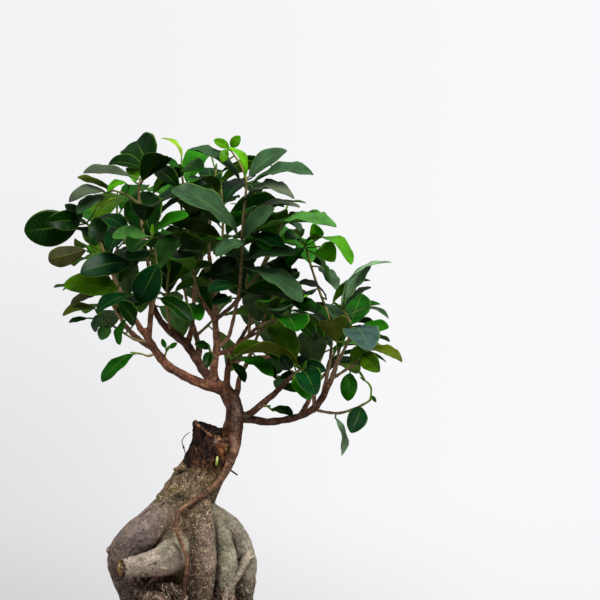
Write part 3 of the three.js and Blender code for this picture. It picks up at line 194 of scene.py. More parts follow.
# Leafy shoots: the points of their twigs, and the leaves that show. Each leaf is (across, up) of its base and
# of its tip, their depths, the width that shows, less than 0 from below, its tone and, where it differs, its
# arch. As many more as "rule" says are set round the first twig, from the angle "turn".
SHOOTS = {
    "crown": {
        "twigs": [[
            (32, 9, 351, 2.2), (43, 2, 362, 2), (47, -2, 375, 1.9), (50, -6, 388, 1.8), (53, -10, 402, 1.8),
            (55, -13, 415, 1.7), (56, -16, 430, 1.6), (57, -18, 446, 1.5), (57, -20, 462, 1.5),
            (59, -22, 490, 1.4), (61, -26, 520, 1.3), (55, -28, 536, 1.1), (45, -30, 551, 0.9),
        ]],
        "leaves": [
            (55, 520, 5, 551, -32, -48, 11, "grey"), (39, 537, 22, 550, -24, -20, 8, "yellow"),
            (44, 553, 29, 560, -31, -40, 9, "bright"), (46, 553, 55, 564, -31, -38, 10, "bright"),
            (41, 551, 37, 538, -34, -40, 9, "bright"), (59, 521, 44, 553, -36, -48, 7, "bright", 0.2),
            (64, 523, 101, 552, -26, -14, 18, "grey"), (67, 517, 127, 530, -32, -52, 12, "grey"),
            (58, 497, 108, 505, -34, -62, 9, "ash", 0.2), (61, 487, 115, 493, -30, -48, 6, "ash"),
            (58, 462, 90, 491, -26, -56, 16, "grey"), (70, 467, 151, 476, -42, -78, 8, "light", 0.08),
            (66, 465, 99, 453, -36, -58, 12, "teal"), (54, 462, -9, 513, -32, -80, 18, "grey"),
            (40, 452, -15, 479, -30, -52, -14, "olive"), (50, 453, 29, 447, -28, -56, 14, "grey"),
            (62, 432, 118, 401, -28, -58, 16, "grey"), (60, 408, 117, 400, -22, -44, -18, "dark"),
            (50, 414, 23, 407, -20, -46, 12, "teal"), (45, 402, 27, 397, -14, -34, 11, "teal"),
            (60, 457, 31, 445, -40, -68, 13, "grey"), (51, 441, 25, 428, -6, -24, 17, "dark"),
            (62, 440, 110, 449, -30, -54, 12, "grey"),
        ],
    },
    "far_left": {
        "twigs": [[
            (-54, -36, 386, 1.9), (-67, -38, 415, 1.7), (-80, -40, 445, 1.5), (-90, -42, 468, 1.3),
            (-100, -44, 478, 1.1),
        ]],
        "leaves": [
            (-107, 475, -161, 469, -46, -62, 36, "dark", 0.05),
            (-105, 479, -137, 478, -54, -88, 20, "dark"), (-104, 480, -119, 495, -46, -70, 12, "sheen_silver"),
            (-80, 504, -108, 488, -56, -78, 13, "grey"), (-84, 484, -90, 455, -48, -66, 18, "dark"),
            (-84, 484, -58, 470, -48, -72, 14, "teal"),
        ],
        "rule": 2,
        "turn": 10.5,
    },
    "upper_left": {
        "twigs": [
            [
                (-34, -32, 407, 1.8), (-36, -36, 430, 1.7), (-40, -42, 455, 1.6), (-43, -46, 475, 1.5),
                (-46, -50, 498, 1.4), (-45, -52, 518, 1.2), (-40, -54, 528, 1),
            ],
            [(-46, -50, 496, 1.2), (-60, -54, 506, 1.1), (-74, -58, 510, 0.9)],
        ],
        "leaves": [
            (-78, 507, -116, 499, -62, -84, 12, "ash", 0.16),
            (-78, 512, -108, 522, -58, -66, 7, "olive", 0.03),
            (-55, 514, -78, 509, -64, -78, 7, "lime", 0.25),
            (-54, 524, -101, 530, -58, -78, 10, "ash", 0.02), (-42, 531, -76, 537, -46, -28, 14, "dark"),
            (-33, 531, -49, 560, -52, -8, 38, "dark", 0.05), (-50, 517, -50, 535, -60, -40, 16, "bright"),
            (-68, 502, -89, 488, -60, -64, 5, "yellow"),
        ],
        "rule": 2,
        "turn": 10.2,
        "tones": {0: "dark", 1: "dark"},
    },
    "top_middle": {
        "twigs": [[
            (9, 26, 396, 1.9), (8, 20, 430, 1.7), (4, 10, 465, 1.5), (0, 0, 500, 1.3), (-3, -6, 526, 1.1),
        ]],
        "leaves": [
            (-1, 532, 18, 530, -12, -52, 17, "mid"), (-3, 540, -23, 563, -8, -12, 4, "yellow", 0.2),
            (-5, 533, -25, 539, -12, -38, 9, "mid", 0.04), (2, 505, 34, 520, -4, 12, 16, "dark"),
            (-6, 512, -28, 532, -4, 22, 18, "dark"),
        ],
        "rule": 3,
        "turn": 5.7,
    },
    "mid_left": {
        "twigs": [[(-34, -30, 386, 1.7), (-29, -44, 410, 1.6), (-29, -58, 438, 1.4), (-33, -68, 464, 1.1)]],
        "leaves": [
            (-34, 467, -45, 507, -72, -28, 40, "dark", 0.04), (-38, 464, -72, 464, -72, -96, 13, "light"),
            (-31, 466, 4, 484, -70, -94, 12, "green"), (-27, 436, -46, 398, -72, -60, 28, "teal"),
            (-34, 446, -62, 444, -66, -80, 12, "teal"), (-26, 402, 7, 378, -40, -52, 14, "dark"),
            (-39, 400, -68, 387, -44, -64, 14, "dark"),
        ],
        "rule": 2,
        "turn": 10.8,
    },
    "lower_far_left": {
        "twigs": [[
            (-48, -34, 378, 1.7), (-58, -46, 394, 1.6), (-70, -54, 412, 1.4), (-82, -60, 432, 1.2),
            (-93, -62, 447, 1),
        ]],
        "leaves": [
            (-99, 450, -137, 440, -64, -90, -20, "brown"), (-56, 437, -104, 427, -64, -104, 24, "teal"),
            (-67, 411, -121, 415, -58, -84, 23, "moss"), (-88, 405, -115, 396, -58, -64, 8, "brown"),
            (-54, 404, -88, 389, -46, -72, 13, "teal"),
        ],
        "rule": 2,
        "turn": 8.1,
    },
    "low_left": {
        "twigs": [[
            (-35, -31, 358, 1.4), (-49, -36, 360, 1.2), (-58, -38, 365, 1.1), (-67, -40, 371, 1),
            (-75, -42, 376, 1), (-82, -43, 382, 0.9),
        ]],
        "leaves": [
            (-88, 390, -122, 387, -46, -66, 8, "olive", 0.16), (-82, 387, -90, 369, -46, -66, 10, "grey"),
            (-78, 374, -84, 360, -46, -66, 13, "light"), (-59, 381, -65, 355, -42, -60, 10, "green"),
            (-50, 376, -68, 398, -46, -78, 14, "dark"), (-97, 382, -116, 379, -48, -58, 5, "mid", 0.02),
        ],
    },
    "left_drop": {
        "twigs": [[(-28, -27, 347, 1.4), (-37, -33, 344, 1.1), (-43, -36, 346, 1), (-50, -39, 347, 0.9)]],
        "leaves": [(-52, 346, -83, 318, -41, -60, 14, "mid")],
    },
    "bud_pair": {
        "twigs": [[(-19, -22, 336, 1.2), (-20, -28, 344, 0.9), (-18, -30, 350, 0.8)]],
        "leaves": [(-19, 352, -23, 361, -31, -34, 5, "green"), (-16, 352, -8, 357, -31, -34, 5, "green")],
    },
    "inner_pair": {
        "twigs": [[(30, 8, 340, 1.4), (27, -2, 346, 1.1), (25, -8, 350, 0.9)]],
        "leaves": [(23, 352, 10, 356, -10, -26, 8, "dark"), (24, 348, 22, 332, -12, -26, 10, "dark")],
    },
    "under_middle": {
        "twigs": [[(43, 4, 349, 1.6), (44, -4, 345, 1.3), (46, -10, 342, 1)]],
        "leaves": [
            (50, 341, 88, 323, -13, -40, 10, "green", 0.16),
            (48, 346, 82, 356, -14, -44, -13, "moss", 0.04), (47, 337, 60, 318, -14, -24, 9, "dark"),
        ],
    },
    "right_low": {
        "twigs": [[(105, -29, 322, 1.9), (112, -34, 328, 1.5), (118, -38, 332, 1.2)]],
        "leaves": [
            (113, 335, 50, 348, -44, -66, -12, "olive"), (104, 330, 97, 345, -38, -62, 14, "dark"),
            (122, 336, 140, 330, -36, -58, 14, "teal"), (108, 321, 125, 301, -40, -64, 14, "green"),
        ],
        "rule": 2,
        "turn": 6,
    },
    "under_leaf": {
        "twigs": [[(77, -11, 296, 1.4), (80, -17, 294, 1.1), (83, -21, 294, 0.9)]],
        "leaves": [(86, 291, 107, 286, -24, -46, 7, "dark", 0.03)],
    },
    "inner_right": {
        "twigs": [[
            (66, 2, 347, 1.7), (70, -1, 358, 1.6), (78, 4, 378, 1.5), (87, 8, 402, 1.3), (96, 8, 428, 1.1),
        ]],
        "leaves": [(73, 349, 99, 337, -6, -28, 9, "dark"), (72, 341, 91, 322, -12, -26, 6, "dark")],
        "rule": 3,
        "turn": 12.3,
    },
    "fork_up": {
        "twigs": [[
            (129, -1, 293, 2.2), (129, 2, 302, 2), (128, 6, 312, 1.8), (127, 10, 322, 1.6),
            (128, 12, 336, 1.4), (131, 10, 352, 1.1),
        ]],
        "leaves": [
            (122, 320, 96, 324, 2, -20, 6, "dark"), (126, 304, 99, 311, -2, -30, 8, "dark"),
            (122, 326, 108, 340, 6, -30, 12, "dark"),
        ],
        "rule": 3,
        "turn": 5.4,
    },
    "upper_right": {
        "twigs": [[
            (137, -3, 304, 1.9), (141, 4, 320, 1.8), (144, 10, 334, 1.7), (146, 14, 348, 1.6),
            (146, 14, 366, 1.5), (142, 8, 388, 1.4), (134, 0, 410, 1.3), (126, -8, 434, 1.2),
            (120, -14, 456, 1),
        ]],
        "leaves": [
            (113, 460, 100, 462, -18, -50, 10, "mid"), (134, 461, 128, 475, -18, -40, 14, "lit"),
            (121, 459, 167, 438, -24, -64, 8, "lime", 0.2), (136, 454, 150, 438, -22, -56, 20, "lit"),
            (128, 448, 142, 420, -28, -44, 5, "lime"), (133, 434, 151, 411, -28, -58, 12, "sheen_silver"),
            (122, 408, 100, 406, -6, -36, 10, "teal"), (142, 400, 112, 416, -12, -34, 5, "dark", 0.2),
            (139, 396, 155, 377, -12, -48, 12, "grey"), (118, 452, 104, 432, -16, -38, 12, "mid"),
        ],
        "rule": 3,
        "turn": 6.3,
    },
    "right": {
        "twigs": [[
            (145, -6, 319, 2), (150, -14, 332, 1.8), (155, -20, 342, 1.7), (160, -25, 352, 1.6),
            (164, -29, 362, 1.5), (166, -32, 373, 1.3), (162, -35, 384, 1.2), (157, -38, 392, 1),
        ]],
        "leaves": [
            (156, 398, 185, 434, -40, -58, 12, "pale", 0.03),
            (160, 415, 206, 439, -47, -52, 3, "pale", 0.12), (165, 375, 177, 406, -36, 0, 27, "mid", 0.04),
            (174, 371, 203, 373, -36, -62, 11, "green", 0.05), (168, 366, 190, 356, -38, -76, 14, "blue"),
            (180, 392, 204, 383, -38, -46, 4, "grey", 0.12), (151, 358, 148, 380, -36, -76, -28, "olive"),
            (160, 394, 185, 414, -40, -50, 5, "grey"),
        ],
        "rule": 1,
        "turn": 1.8,
        "tones": {0: "blue"},
    },
    "right_tip": {
        "twigs": [[
            (149, -6, 322.5, 1.7), (156, -11, 327, 1.5), (162, -16, 331, 1.4), (169, -20, 335, 1.3),
            (175, -23, 343, 1.1),
        ]],
        "leaves": [
            (166, 337, 181, 354, -24, -44, 10, "moss"), (182, 350, 217, 339, -26, -48, 9, "olive", 0.12),
            (178, 345, 194, 329, -26, -52, 18, "moss"), (165, 327, 163, 300, -24, -38, 17, "green"),
        ],
    },
    "long_sprig": {
        "twigs": [[
            (131, -1, 290, 1.6), (140, -6, 288, 1.5), (148, -10, 287, 1.4), (155, -14, 287, 1.4),
            (163, -17, 289, 1.3), (171, -20, 292, 1.3), (179, -22, 296, 1.2), (185, -23, 300, 1.2),
            (186, -24, 305, 1.1), (186, -25, 312, 1.1), (183, -26, 317, 1), (179, -26, 320, 0.9),
        ]],
        "leaves": [
            (176, 293, 166, 267, -22, -42, 20, "teal"), (150, 283, 159, 245, -14, -22, 7, "pale"),
            (187, 304, 191, 298, -25, -30, 4, "mid"),
        ],
        "fresh": 1,
    },
    "middle_right": {
        "twigs": [[(73, -12, 373, 1.5), (88, -18, 380, 1.3), (103, -23, 384, 1)]],
        "leaves": [
            (108, 364, 100, 378, -26, -44, 6, "green"), (106, 383, 145, 353, -26, -50, 6, "grey", 0.3),
            (110, 378, 130, 362, -22, -50, 13, "dark"),
        ],
        "rule": 3,
        "turn": 9.6,
    },
    "middle": {
        "twigs": [[(64, -7, 365, 1.5), (65, 2, 380, 1.4), (66, 10, 400, 1.3), (72, 8, 428, 1.1)]],
        "leaves": [
            (84, 438, 105, 425, 0, -34, 16, "dark"), (62, 370, 18, 377, -14, -38, -11, "moss", 0.06),
            (68, 436, 78, 460, 4, 24, 14, "mid"),
        ],
        "rule": 4,
        "turn": 3.9,
    },
}
# Shoots with all their leaves set by rule: how many, the angle of the first, and the twig
RULED_SHOOTS = {
    "left_middle": (5, 2.1, [
        (-46, -32, 373, 1.7), (-57, -14, 392, 1.5), (-69, -2, 416, 1.3), (-78, 4, 440, 1),
    ]),
    "back_left_low": (4, 8.7, [(-62, 20, 378, 1.7), (-72, 34, 394, 1.4), (-80, 42, 412, 1)]),
    "back_left": (4, 9.3, [(-72, 45, 398, 1.7), (-76, 62, 418, 1.4), (-79, 68, 440, 1)]),
    "back_left_up": (6, 4.8, [
        (-67, 34, 389, 1.7), (-68, 32, 425, 1.5), (-68, 28, 460, 1.3), (-68, 22, 492, 1),
    ]),
    "back_left_top": (6, 6.6, [
        (-34.5, 47.5, 401, 1.8), (-33, 48, 434, 1.5), (-36, 42, 470, 1.3), (-42, 34, 508, 1),
    ]),
    "top_centre": (7, 11.1, [
        (30, 18, 400, 1.8), (34, 6, 425, 1.5), (37, -2, 455, 1.3), (38, -6, 485, 1.2), (36, -8, 512, 1),
    ]),
    "front_middle": (7, 9.6, [
        (14, -14, 404, 1.7), (9, -22, 424, 1.4), (6, -26, 448, 1.2), (4, -28, 470, 1),
    ]),
    "inner_left": (5, 7.8, [
        (-14, 34, 369, 1.7), (-17, 22, 386, 1.5), (-18, 8, 406, 1.3), (-16, -2, 430, 1),
    ]),
    "back_left_far": (5, 10.8, [(-26, 40.5, 381, 1.7), (-32, 66, 399, 1.4), (-40, 90, 420, 1)]),
    "back": (4, 2.1, [(4, 92, 388, 1.7), (0, 106, 408, 1.4), (-4, 116, 430, 1)]),
    "back_low": (4, 10.2, [(11, 64, 364, 1.7), (26, 84, 378, 1.4), (40, 98, 396, 1)]),
    "top_back": (5, 12, [(24, 26, 445, 1.6), (25, 20, 476, 1.4), (28, 12, 506, 1.2), (31, 6, 532, 1)]),
    "top_back_left": (5, 2.1, [
        (28, 22, 420, 1.6), (12, 46, 444, 1.4), (0, 62, 474, 1.2), (-6, 66, 506, 1),
    ]),
    "back_right_top": (4, 5.7, [(74, 72, 428, 1.6), (84, 82, 450, 1.3), (90, 86, 474, 1)]),
    "top_right": (5, 1.8, [(60, 55, 408, 1.7), (66, 50, 440, 1.5), (72, 46, 474, 1.2), (76, 42, 502, 1)]),
    "top_front_right": (6, 7.8, [
        (45, 34, 392, 1.7), (62, 26, 412, 1.5), (80, 18, 436, 1.4), (92, 10, 462, 1.2), (98, 4, 486, 1),
    ]),
    "back_middle": (4, 3.9, [(62, 58, 372, 1.8), (69, 78, 384, 1.4), (73, 96, 402, 1)]),
    "inner_right_low": (5, 11.1, [
        (54, 40, 358, 1.7), (77, 46, 370, 1.5), (99, 50, 386, 1.3), (116, 50, 402, 1),
    ]),
    "back_right": (4, 2.7, [(132, 62, 332, 1.6), (140, 73, 352, 1.3), (146, 79, 374, 1)]),
    "back_right_low": (4, 8.1, [(128, 42, 312, 1.7), (141, 48, 328, 1.4), (149, 48, 346, 1)]),
    "back_low_right": (3, 4.5, [(87.5, 69.5, 344, 1.6), (94, 86, 357, 1.3), (98, 96, 376, 1)]),
    "right_middle": (4, 12.9, [
        (150, -9, 331, 1.8), (153, 6, 341, 1.5), (153, 18, 358, 1.3), (152, 26, 380, 1),
    ]),
}
SHOOTS |= {
    name: {"twigs": [twig], "rule": rule, "turn": turn}
    for name, (rule, turn, twig) in RULED_SHOOTS.items()
}


def noise(seed):
    """Repeatable random number from 0 to 1."""
    value = math.sin(seed * 12.9898 + 4.1414) * 43758.5453
    return value - math.floor(value)


def between(limits, seed):
    return limits[0] + (limits[1] - limits[0]) * noise(seed)


def unit(vector):
    return vector / np.linalg.norm(vector)


def linear(red, green, blue):
    """Linear colour of an sRGB one that is given from 0 to 255."""
    shares = np.array([red, green, blue]) / 255
    return np.where(shares <= 0.04045, shares / 12.92, ((shares + 0.055) / 1.055) ** 2.4)


def tinted(**tones):
    return {name: linear(*tone) for name, tone in tones.items()}


def blend(first, second, share):
    """Tint from first to second, by one share or by a share for each vertex."""
    share = np.asarray(share, float).reshape(-1, 1)
    return first * (1 - share) + second * share


def seen(across, depth, up):
    """Real place of a point that is seen at (across, up) and lies at the given depth."""
    spread = (EYE["back"] + depth) / EYE["back"]
    return np.array([
        EYE["across"] + (across - EYE["across"]) * spread,
        depth,
        EYE["up"] + (up - EYE["up"]) * spread,
    ])


def curve_point(points, share):
    """Point of a centripetal Catmull-Rom curve through the points."""
    last = len(points) - 1
    before = min(int(share * last), last - 1)
    weight = share * last - before
    p1, p2 = points[before], points[before + 1]
    p0 = points[before - 1] if before > 0 else 2 * p1 - p2
    p3 = points[before + 2] if before + 2 <= last else 2 * p2 - p1
    dt0, dt1, dt2 = (np.sum((b - a) ** 2) ** 0.25 for a, b in ((p0, p1), (p1, p2), (p2, p3)))
    t1 = ((p1 - p0) / dt0 - (p2 - p0) / (dt0 + dt1) + (p2 - p1) / dt1) * dt1
    t2 = ((p2 - p1) / dt1 - (p3 - p1) / (dt1 + dt2) + (p3 - p2) / dt2) * dt1
    square = 3 * (p2 - p1) - 2 * t1 - t2
    cube = 2 * (p1 - p2) + t1 + t2
    return p1 + t1 * weight + square * weight**2 + cube * weight**3


def limb_line(points, spans):
    """Middle line of a limb: its centres, directions and radii."""
    places = [seen(*point[:3]) for point in points]
    steps = (len(points) - 1) * spans
    shares = [step / steps for step in range(steps + 1)]
    nudge = 0.0001
    centre = [curve_point(places, share) for share in shares]
    along = [
        unit(curve_point(places, min(share + nudge, 1)) - curve_point(places, max(share - nudge, 0)))
        for share in shares
    ]
    radius = np.interp(np.array(shares) * (len(points) - 1), range(len(points)), [p[3] for p in points])
    return {"centre": np.array(centre), "along": np.array(along), "radius": radius}


def fine_line(centre, radius):
    """Middle line through points that lie close together."""
    run = np.gradient(np.array(centre), axis=0)
    return {"centre": np.array(centre), "along": run / np.linalg.norm(run, axis=1)[:, None], "radius": radius}


class Piece:
    """Shells of one mesh, with a tint and a surface mark at each vertex."""

    def __init__(self):
        self.places, self.faces, self.tints, self.marks, self.coats = [], [], [], [], []
        self.count = 0

    def add(self, shell, tint, coat=0):
        """Adds a shell of places, faces and marks, in the material with the given number."""
        places, faces, marks = shell
        count = len(places)
        self.places.append(places)
        self.faces += [tuple(corner + self.count for corner in face) for face in faces]
        self.coats += [coat] * len(faces)
        self.tints.append(np.broadcast_to(tint, (count, 3)))
        self.marks.append(np.broadcast_to(np.asarray(marks, float), (count, 3)))
        self.count += count

    def build(self, name, materials, alpha=1.0):
        """The piece as an object. The tint's alpha is one number or a number for each vertex."""
        mesh = bpy.data.meshes.new(name)
        mesh.from_pydata((np.concatenate(self.places) * MM).tolist(), [], self.faces)
        tints = np.column_stack([np.concatenate(self.tints), np.broadcast_to(alpha, self.count)])
        mesh.attributes.new("tint", "FLOAT_COLOR", "POINT").data.foreach_set("color", tints.ravel())
        marks = np.concatenate(self.marks)
        mesh.attributes.new("mark", "FLOAT_VECTOR", "POINT").data.foreach_set("vector", marks.ravel())
        for material in materials:
            mesh.materials.append(material)
        mesh.polygons.foreach_set("material_index", self.coats)
        mesh.polygons.foreach_set("use_smooth", [True] * len(mesh.polygons))
        mesh.update()
        return added(bpy.data.objects.new(name, mesh))


def added(thing):
    """An object that is put in the scene."""
    bpy.context.scene.collection.objects.link(thing)
    return thing


def closed(rings, sides, turned=0):
    """Quads between rings of equal size, and triangles from the outer rings to the two points after them.

    The quads of the first sides, as many as turned says, are split along their other diagonal.
    """
    faces = []
    for ring in range(rings - 1):
        for side in range(sides):
            a = ring * sides + side
            b = ring * sides + (side + 1) % sides
            quad = (a, b, b + sides, a + sides)
            faces.append(quad[1:] + quad[:1] if side < turned else quad)
    first, top = rings * sides, (rings - 1) * sides
    for side in range(sides):
        after = (side + 1) % sides
        faces.append((first, after, side))
        faces.append((first + 1, top + side, top + after))
    return faces


def frames(along):
    """Two directions across a line at each of its points, with no twist from one point to the next."""
    across = unit(np.cross([0, 1, 0.01], along[0]))
    firsts = []
    for direction in along:
        across = unit(across - direction * (across @ direction))
        firsts.append(across)
    return np.array(firsts), np.cross(along, firsts)


def reaches(centre):
    """Distance of each point along a line."""
    return np.concatenate([[0], np.cumsum(np.linalg.norm(np.diff(centre, axis=0), axis=1))])


END_ROUNDNESS = 0.3


def tube(line, sides, swell=1.0):
    """Closed round tube along a line, with (distance along, angle round, radius) as marks."""
    centre, along, radius = line["centre"], line["along"], line["radius"]
    reach = reaches(centre)
    angles = 2 * math.pi * np.arange(sides) / sides
    firsts, seconds = frames(along)
    rings = np.cos(angles)[:, None] * firsts[:, None] + np.sin(angles)[:, None] * seconds[:, None]
    places = centre[:, None] + rings * (radius * swell)[:, None, None]
    marks = np.stack(np.broadcast_arrays(reach[:, None], angles, radius[:, None]), 2)
    caps = along[[0, -1]] * (radius[[0, -1]] * [-END_ROUNDNESS, END_ROUNDNESS])[:, None]
    places = np.vstack([places.reshape(-1, 3), centre[[0, -1]] + caps])
    marks = np.vstack([marks.reshape(-1, 3), (0, 0, radius[0]), (reach[-1], 0, radius[-1])])
    return places, closed(len(centre), sides), marks


def scarred(line, height, spacing, phase):
    """Swelling along a limb, like the scars that fallen leaves left."""
    return 1 + height * np.sin(reaches(line["centre"]) / spacing + phase)


def finder(places):
    """Tree that finds the nearest of some places."""
    tree = KDTree(len(places))
    for index, place in enumerate(places):
        tree.insert(place, index)
    tree.balance()
    return tree


# Leaf blades: rows from base to tip, and the corners of a row, over the upper side and back underneath
BLADE_ROWS = [(1 - math.cos(math.pi * row / 15)) / 2 for row in range(1, 15)]
HALF_COLUMNS = [0.05, 0.17, 0.38, 0.62, 0.84, 1]
BLADE_COLUMNS = [-share for share in reversed(HALF_COLUMNS)] + [0] + HALF_COLUMNS
BLADE_RING = [(share, 1) for share in reversed(BLADE_COLUMNS)] + [(share, 0) for share in BLADE_COLUMNS]
BASE_TAPER = 0.76
TIP_TAPER = 0.62
BLADE_THICKNESS = 0.55
MIDRIB = {"groove": 0.25, "ridge": 0.7, "width": 0.1}
# How a blade is bent: shares of its half width, or of its length, and turns in radians
FOLD = (0.06, 0.4)
FOLD_POWER = 1.4
RIPPLE = (0.05, 0.15)
RIPPLES = (1.5, 3.5)
SIDE_BEND = 0.05
TIP_CURL = (-0.02, 0.09)
TWIST = (-0.22, 0.22)
PETIOLE_RADIUS = 0.85
PETIOLE_SIDES = 6
# How far a stalk runs on along the midrib, as a share of the blade
PETIOLE_OVERLAP = 0.05
TWIG_SIDES = 8
# Leaf scars along a twig: their height as a share of the radius, and their spacing
TWIG_SCARS = (0.12, 1.9)

# Tones of a blade: what its upper side and its underside look like. Some paint light: pale, grey,
# sheen_silver, ash and blue are painted sheen, lit is the painted glow of a leaf lit from behind, and bright
# is the yellow-green of new leaves with that glow painted on
TONES = {
    "dark": ((6, 42, 2), (20, 62, 4)),
    "mid": ((16, 76, 5), (48, 92, 6)),
    "green": ((32, 108, 7), (76, 122, 12)),
    "vivid": ((38, 104, 4), (86, 138, 12)),
    # Painted glow of a leaf lit from behind
    "lit": ((72, 150, 5), (104, 168, 8)),
    "lime": ((62, 128, 6), (78, 140, 10)),
    "bright": ((88, 160, 10), (110, 174, 24)),
    "yellow": ((150, 196, 40), (158, 194, 56)),
    "light": ((64, 116, 48), (80, 128, 50)),
    "pale": ((140, 182, 132), (138, 170, 146)),
    "teal": ((6, 52, 20), (34, 80, 20)),
    # Painted sheen: the next four tones, and pale
    "grey": ((50, 80, 50), (66, 94, 50)),
    "sheen_silver": ((68, 98, 68), (92, 122, 78)),
    "ash": ((78, 90, 70), (88, 98, 78)),
    "blue": ((56, 82, 74), (74, 94, 66)),
    "moss": ((66, 108, 4), (84, 118, 8)),
    "olive": ((84, 100, 8), (92, 106, 10)),
    "brown": ((62, 64, 32), (58, 57, 26)),
}
SHADES = (0.8, 1.2)
# How many leaves in 22 of those set by rule have each tone
RULED_SHARES = [
    ("dark", 3), ("mid", 5), ("grey", 3), ("teal", 2), ("green", 5), ("light", 1), ("vivid", 2), ("moss", 1),
]
RULED_TONES = [tone for tone, count in RULED_SHARES for _ in range(count)]
STALK_TINT = linear(104, 136, 44)
TWIG_TINTS = (linear(182, 140, 108), linear(140, 134, 62))
SPRIG_TINT = linear(140, 190, 50)
# Radii at which a twig is green or brown, and at which the fresh sprig is bright green or not
GREEN_RADII = (1.0, 1.8)
FRESH_RADII = (1.1, 1.25)

# New leaves at the ends of the twigs
YOUNG = {"lean": (0.2, 0.6), "length": (9, 15), "slenderness": 0.36, "arch": -0.05}
YOUNG_TINTS = (linear(96, 164, 16), linear(54, 128, 10))


def nearest_on(lines, place):
    """Nearest point of a shoot's twigs to a place, kept off the twigs' ends."""
    best = lines[0]["centre"][0]
    for line in lines:
        centre = line["centre"]
        for step in range(1, len(centre)):
            start, run = centre[step - 1], centre[step] - centre[step - 1]
            margin = TWIG_END_MARGIN / np.linalg.norm(run)
            first = margin if step == 1 else 0
            last = 1 - margin if step == len(centre) - 1 else 1
            share = min(max((place - start) @ run / (run @ run), 0), 1)
            point = start + run * min(max(share, first), last)
            if np.linalg.norm(point - place) < np.linalg.norm(best - place):
                best = point
    return best


def facing(along, width, shown):
    """Turn of a blade that shows the given width, with its upper side as high as it can be."""
    sideways = unit(np.cross(along, SIGHT))
    forwards = np.cross(sideways, along)
    if forwards[1] > 0:
        forwards = -forwards
    cosine = min(1, abs(shown) / width)
    sine = math.sqrt(1 - cosine * cosine)
    outwards = forwards * (-cosine if shown < 0 else cosine)
    return unit(outwards + sideways * (-sine if sideways[2] < 0 else sine))


def listed_leaf(row, lines, attempt):
    base_across, base_up, tip_across, tip_up, base_depth, tip_depth, shown, tone = row[:8]
    shift = DEPTH_TRIES[attempt]
    base = seen(base_across, base_depth + shift, base_up)
    tip = seen(tip_across, tip_depth + shift, tip_up)
    length = np.linalg.norm(tip - base)
    width = max(abs(shown), BLADE_SLENDERNESS * length)
    return {
        "root": nearest_on(lines, base),
        "base": base,
        "tip": tip,
        "width": width,
        "upper": facing((tip - base) / length, width, shown),
        "arch": row[8] if len(row) > 8 else BLADE_ARCH,
        "tone": tone,
    }


def ruled_leaf(line, index, count, seed, attempt):
    """A leaf set by rule: the golden angle round the twig, leaning outwards and drooping."""
    stretch = RULED["stretch"]
    place = (stretch[0] + (stretch[1] - stretch[0]) * (index + 0.5) / count) * (len(line["centre"]) - 1)
    before = min(int(place), len(line["centre"]) - 2)
    start, end = line["centre"][before : before + 2]
    root = start + (end - start) * (place - before)
    twig = line["along"][before]
    first = unit(np.cross(twig, SIGHT))
    second = np.cross(twig, first)
    angle = seed + index * GOLDEN_ANGLE + attempt * RULED["retry_turn"]
    out = first * math.cos(angle) + second * math.sin(angle)
    stalk = unit(out + twig * RULED["petiole_forward"] + UP * RULED["petiole_rise"])
    base = root + stalk * between(RULED["petiole"], seed + 3 * index)
    droop = between(RULED["droop"], seed + 5 * index + attempt)
    along = unit(out + twig * RULED["blade_forward"] - UP * droop)
    length = between(RULED["length"], seed + 7 * index) * (1 - RULED["retry_shrink"] * attempt)
    upper = UP + out * RULED["face_outward"] + second * between(RULED["roll"], seed + 11 * index)
    return {
        "root": root,
        "base": base,
        "tip": base + along * length,
        "width": length * between(RULED["slenderness"], seed + 13 * index),
        "upper": unit(upper - along * (upper @ along)),
        "arch": between(RULED["arch"], seed + 17 * index),
        "tone": RULED_TONES[int(noise(seed + 19 * index) * len(RULED_TONES))],
    }


def placed(make, tries, corners):
    """The try of a leaf whose tip is a corner of the model's shoot, or nothing if the model left it out."""
    for attempt in range(tries):
        leaf = make(attempt)
        if corners.find(Vector(leaf["tip"] * MM))[2] < 0.1 * MM:
            return leaf
    return None


def shoot_leaves(name, shoot):
    """The leaves of a shoot, each where the model has it."""
    lines = [limb_line(points, 2) for points in shoot["twigs"]]
    corners = finder([vertex.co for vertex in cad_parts[f"spray_{name}"].data.vertices])
    seed = shoot.get("turn", 0)
    count = shoot.get("rule", 0)
    listed = [
        placed(lambda attempt: listed_leaf(row, lines, attempt), len(DEPTH_TRIES), corners)
        for row in shoot.get("leaves", [])
    ]
    ruled = [
        placed(lambda attempt: ruled_leaf(lines[0], index, count, seed, attempt), RULED["tries"], corners)
        for index in range(count)
    ]
    for index, tone in shoot.get("tones", {}).items():
        ruled[index]["tone"] = tone
    return [leaf for leaf in listed + ruled if leaf]


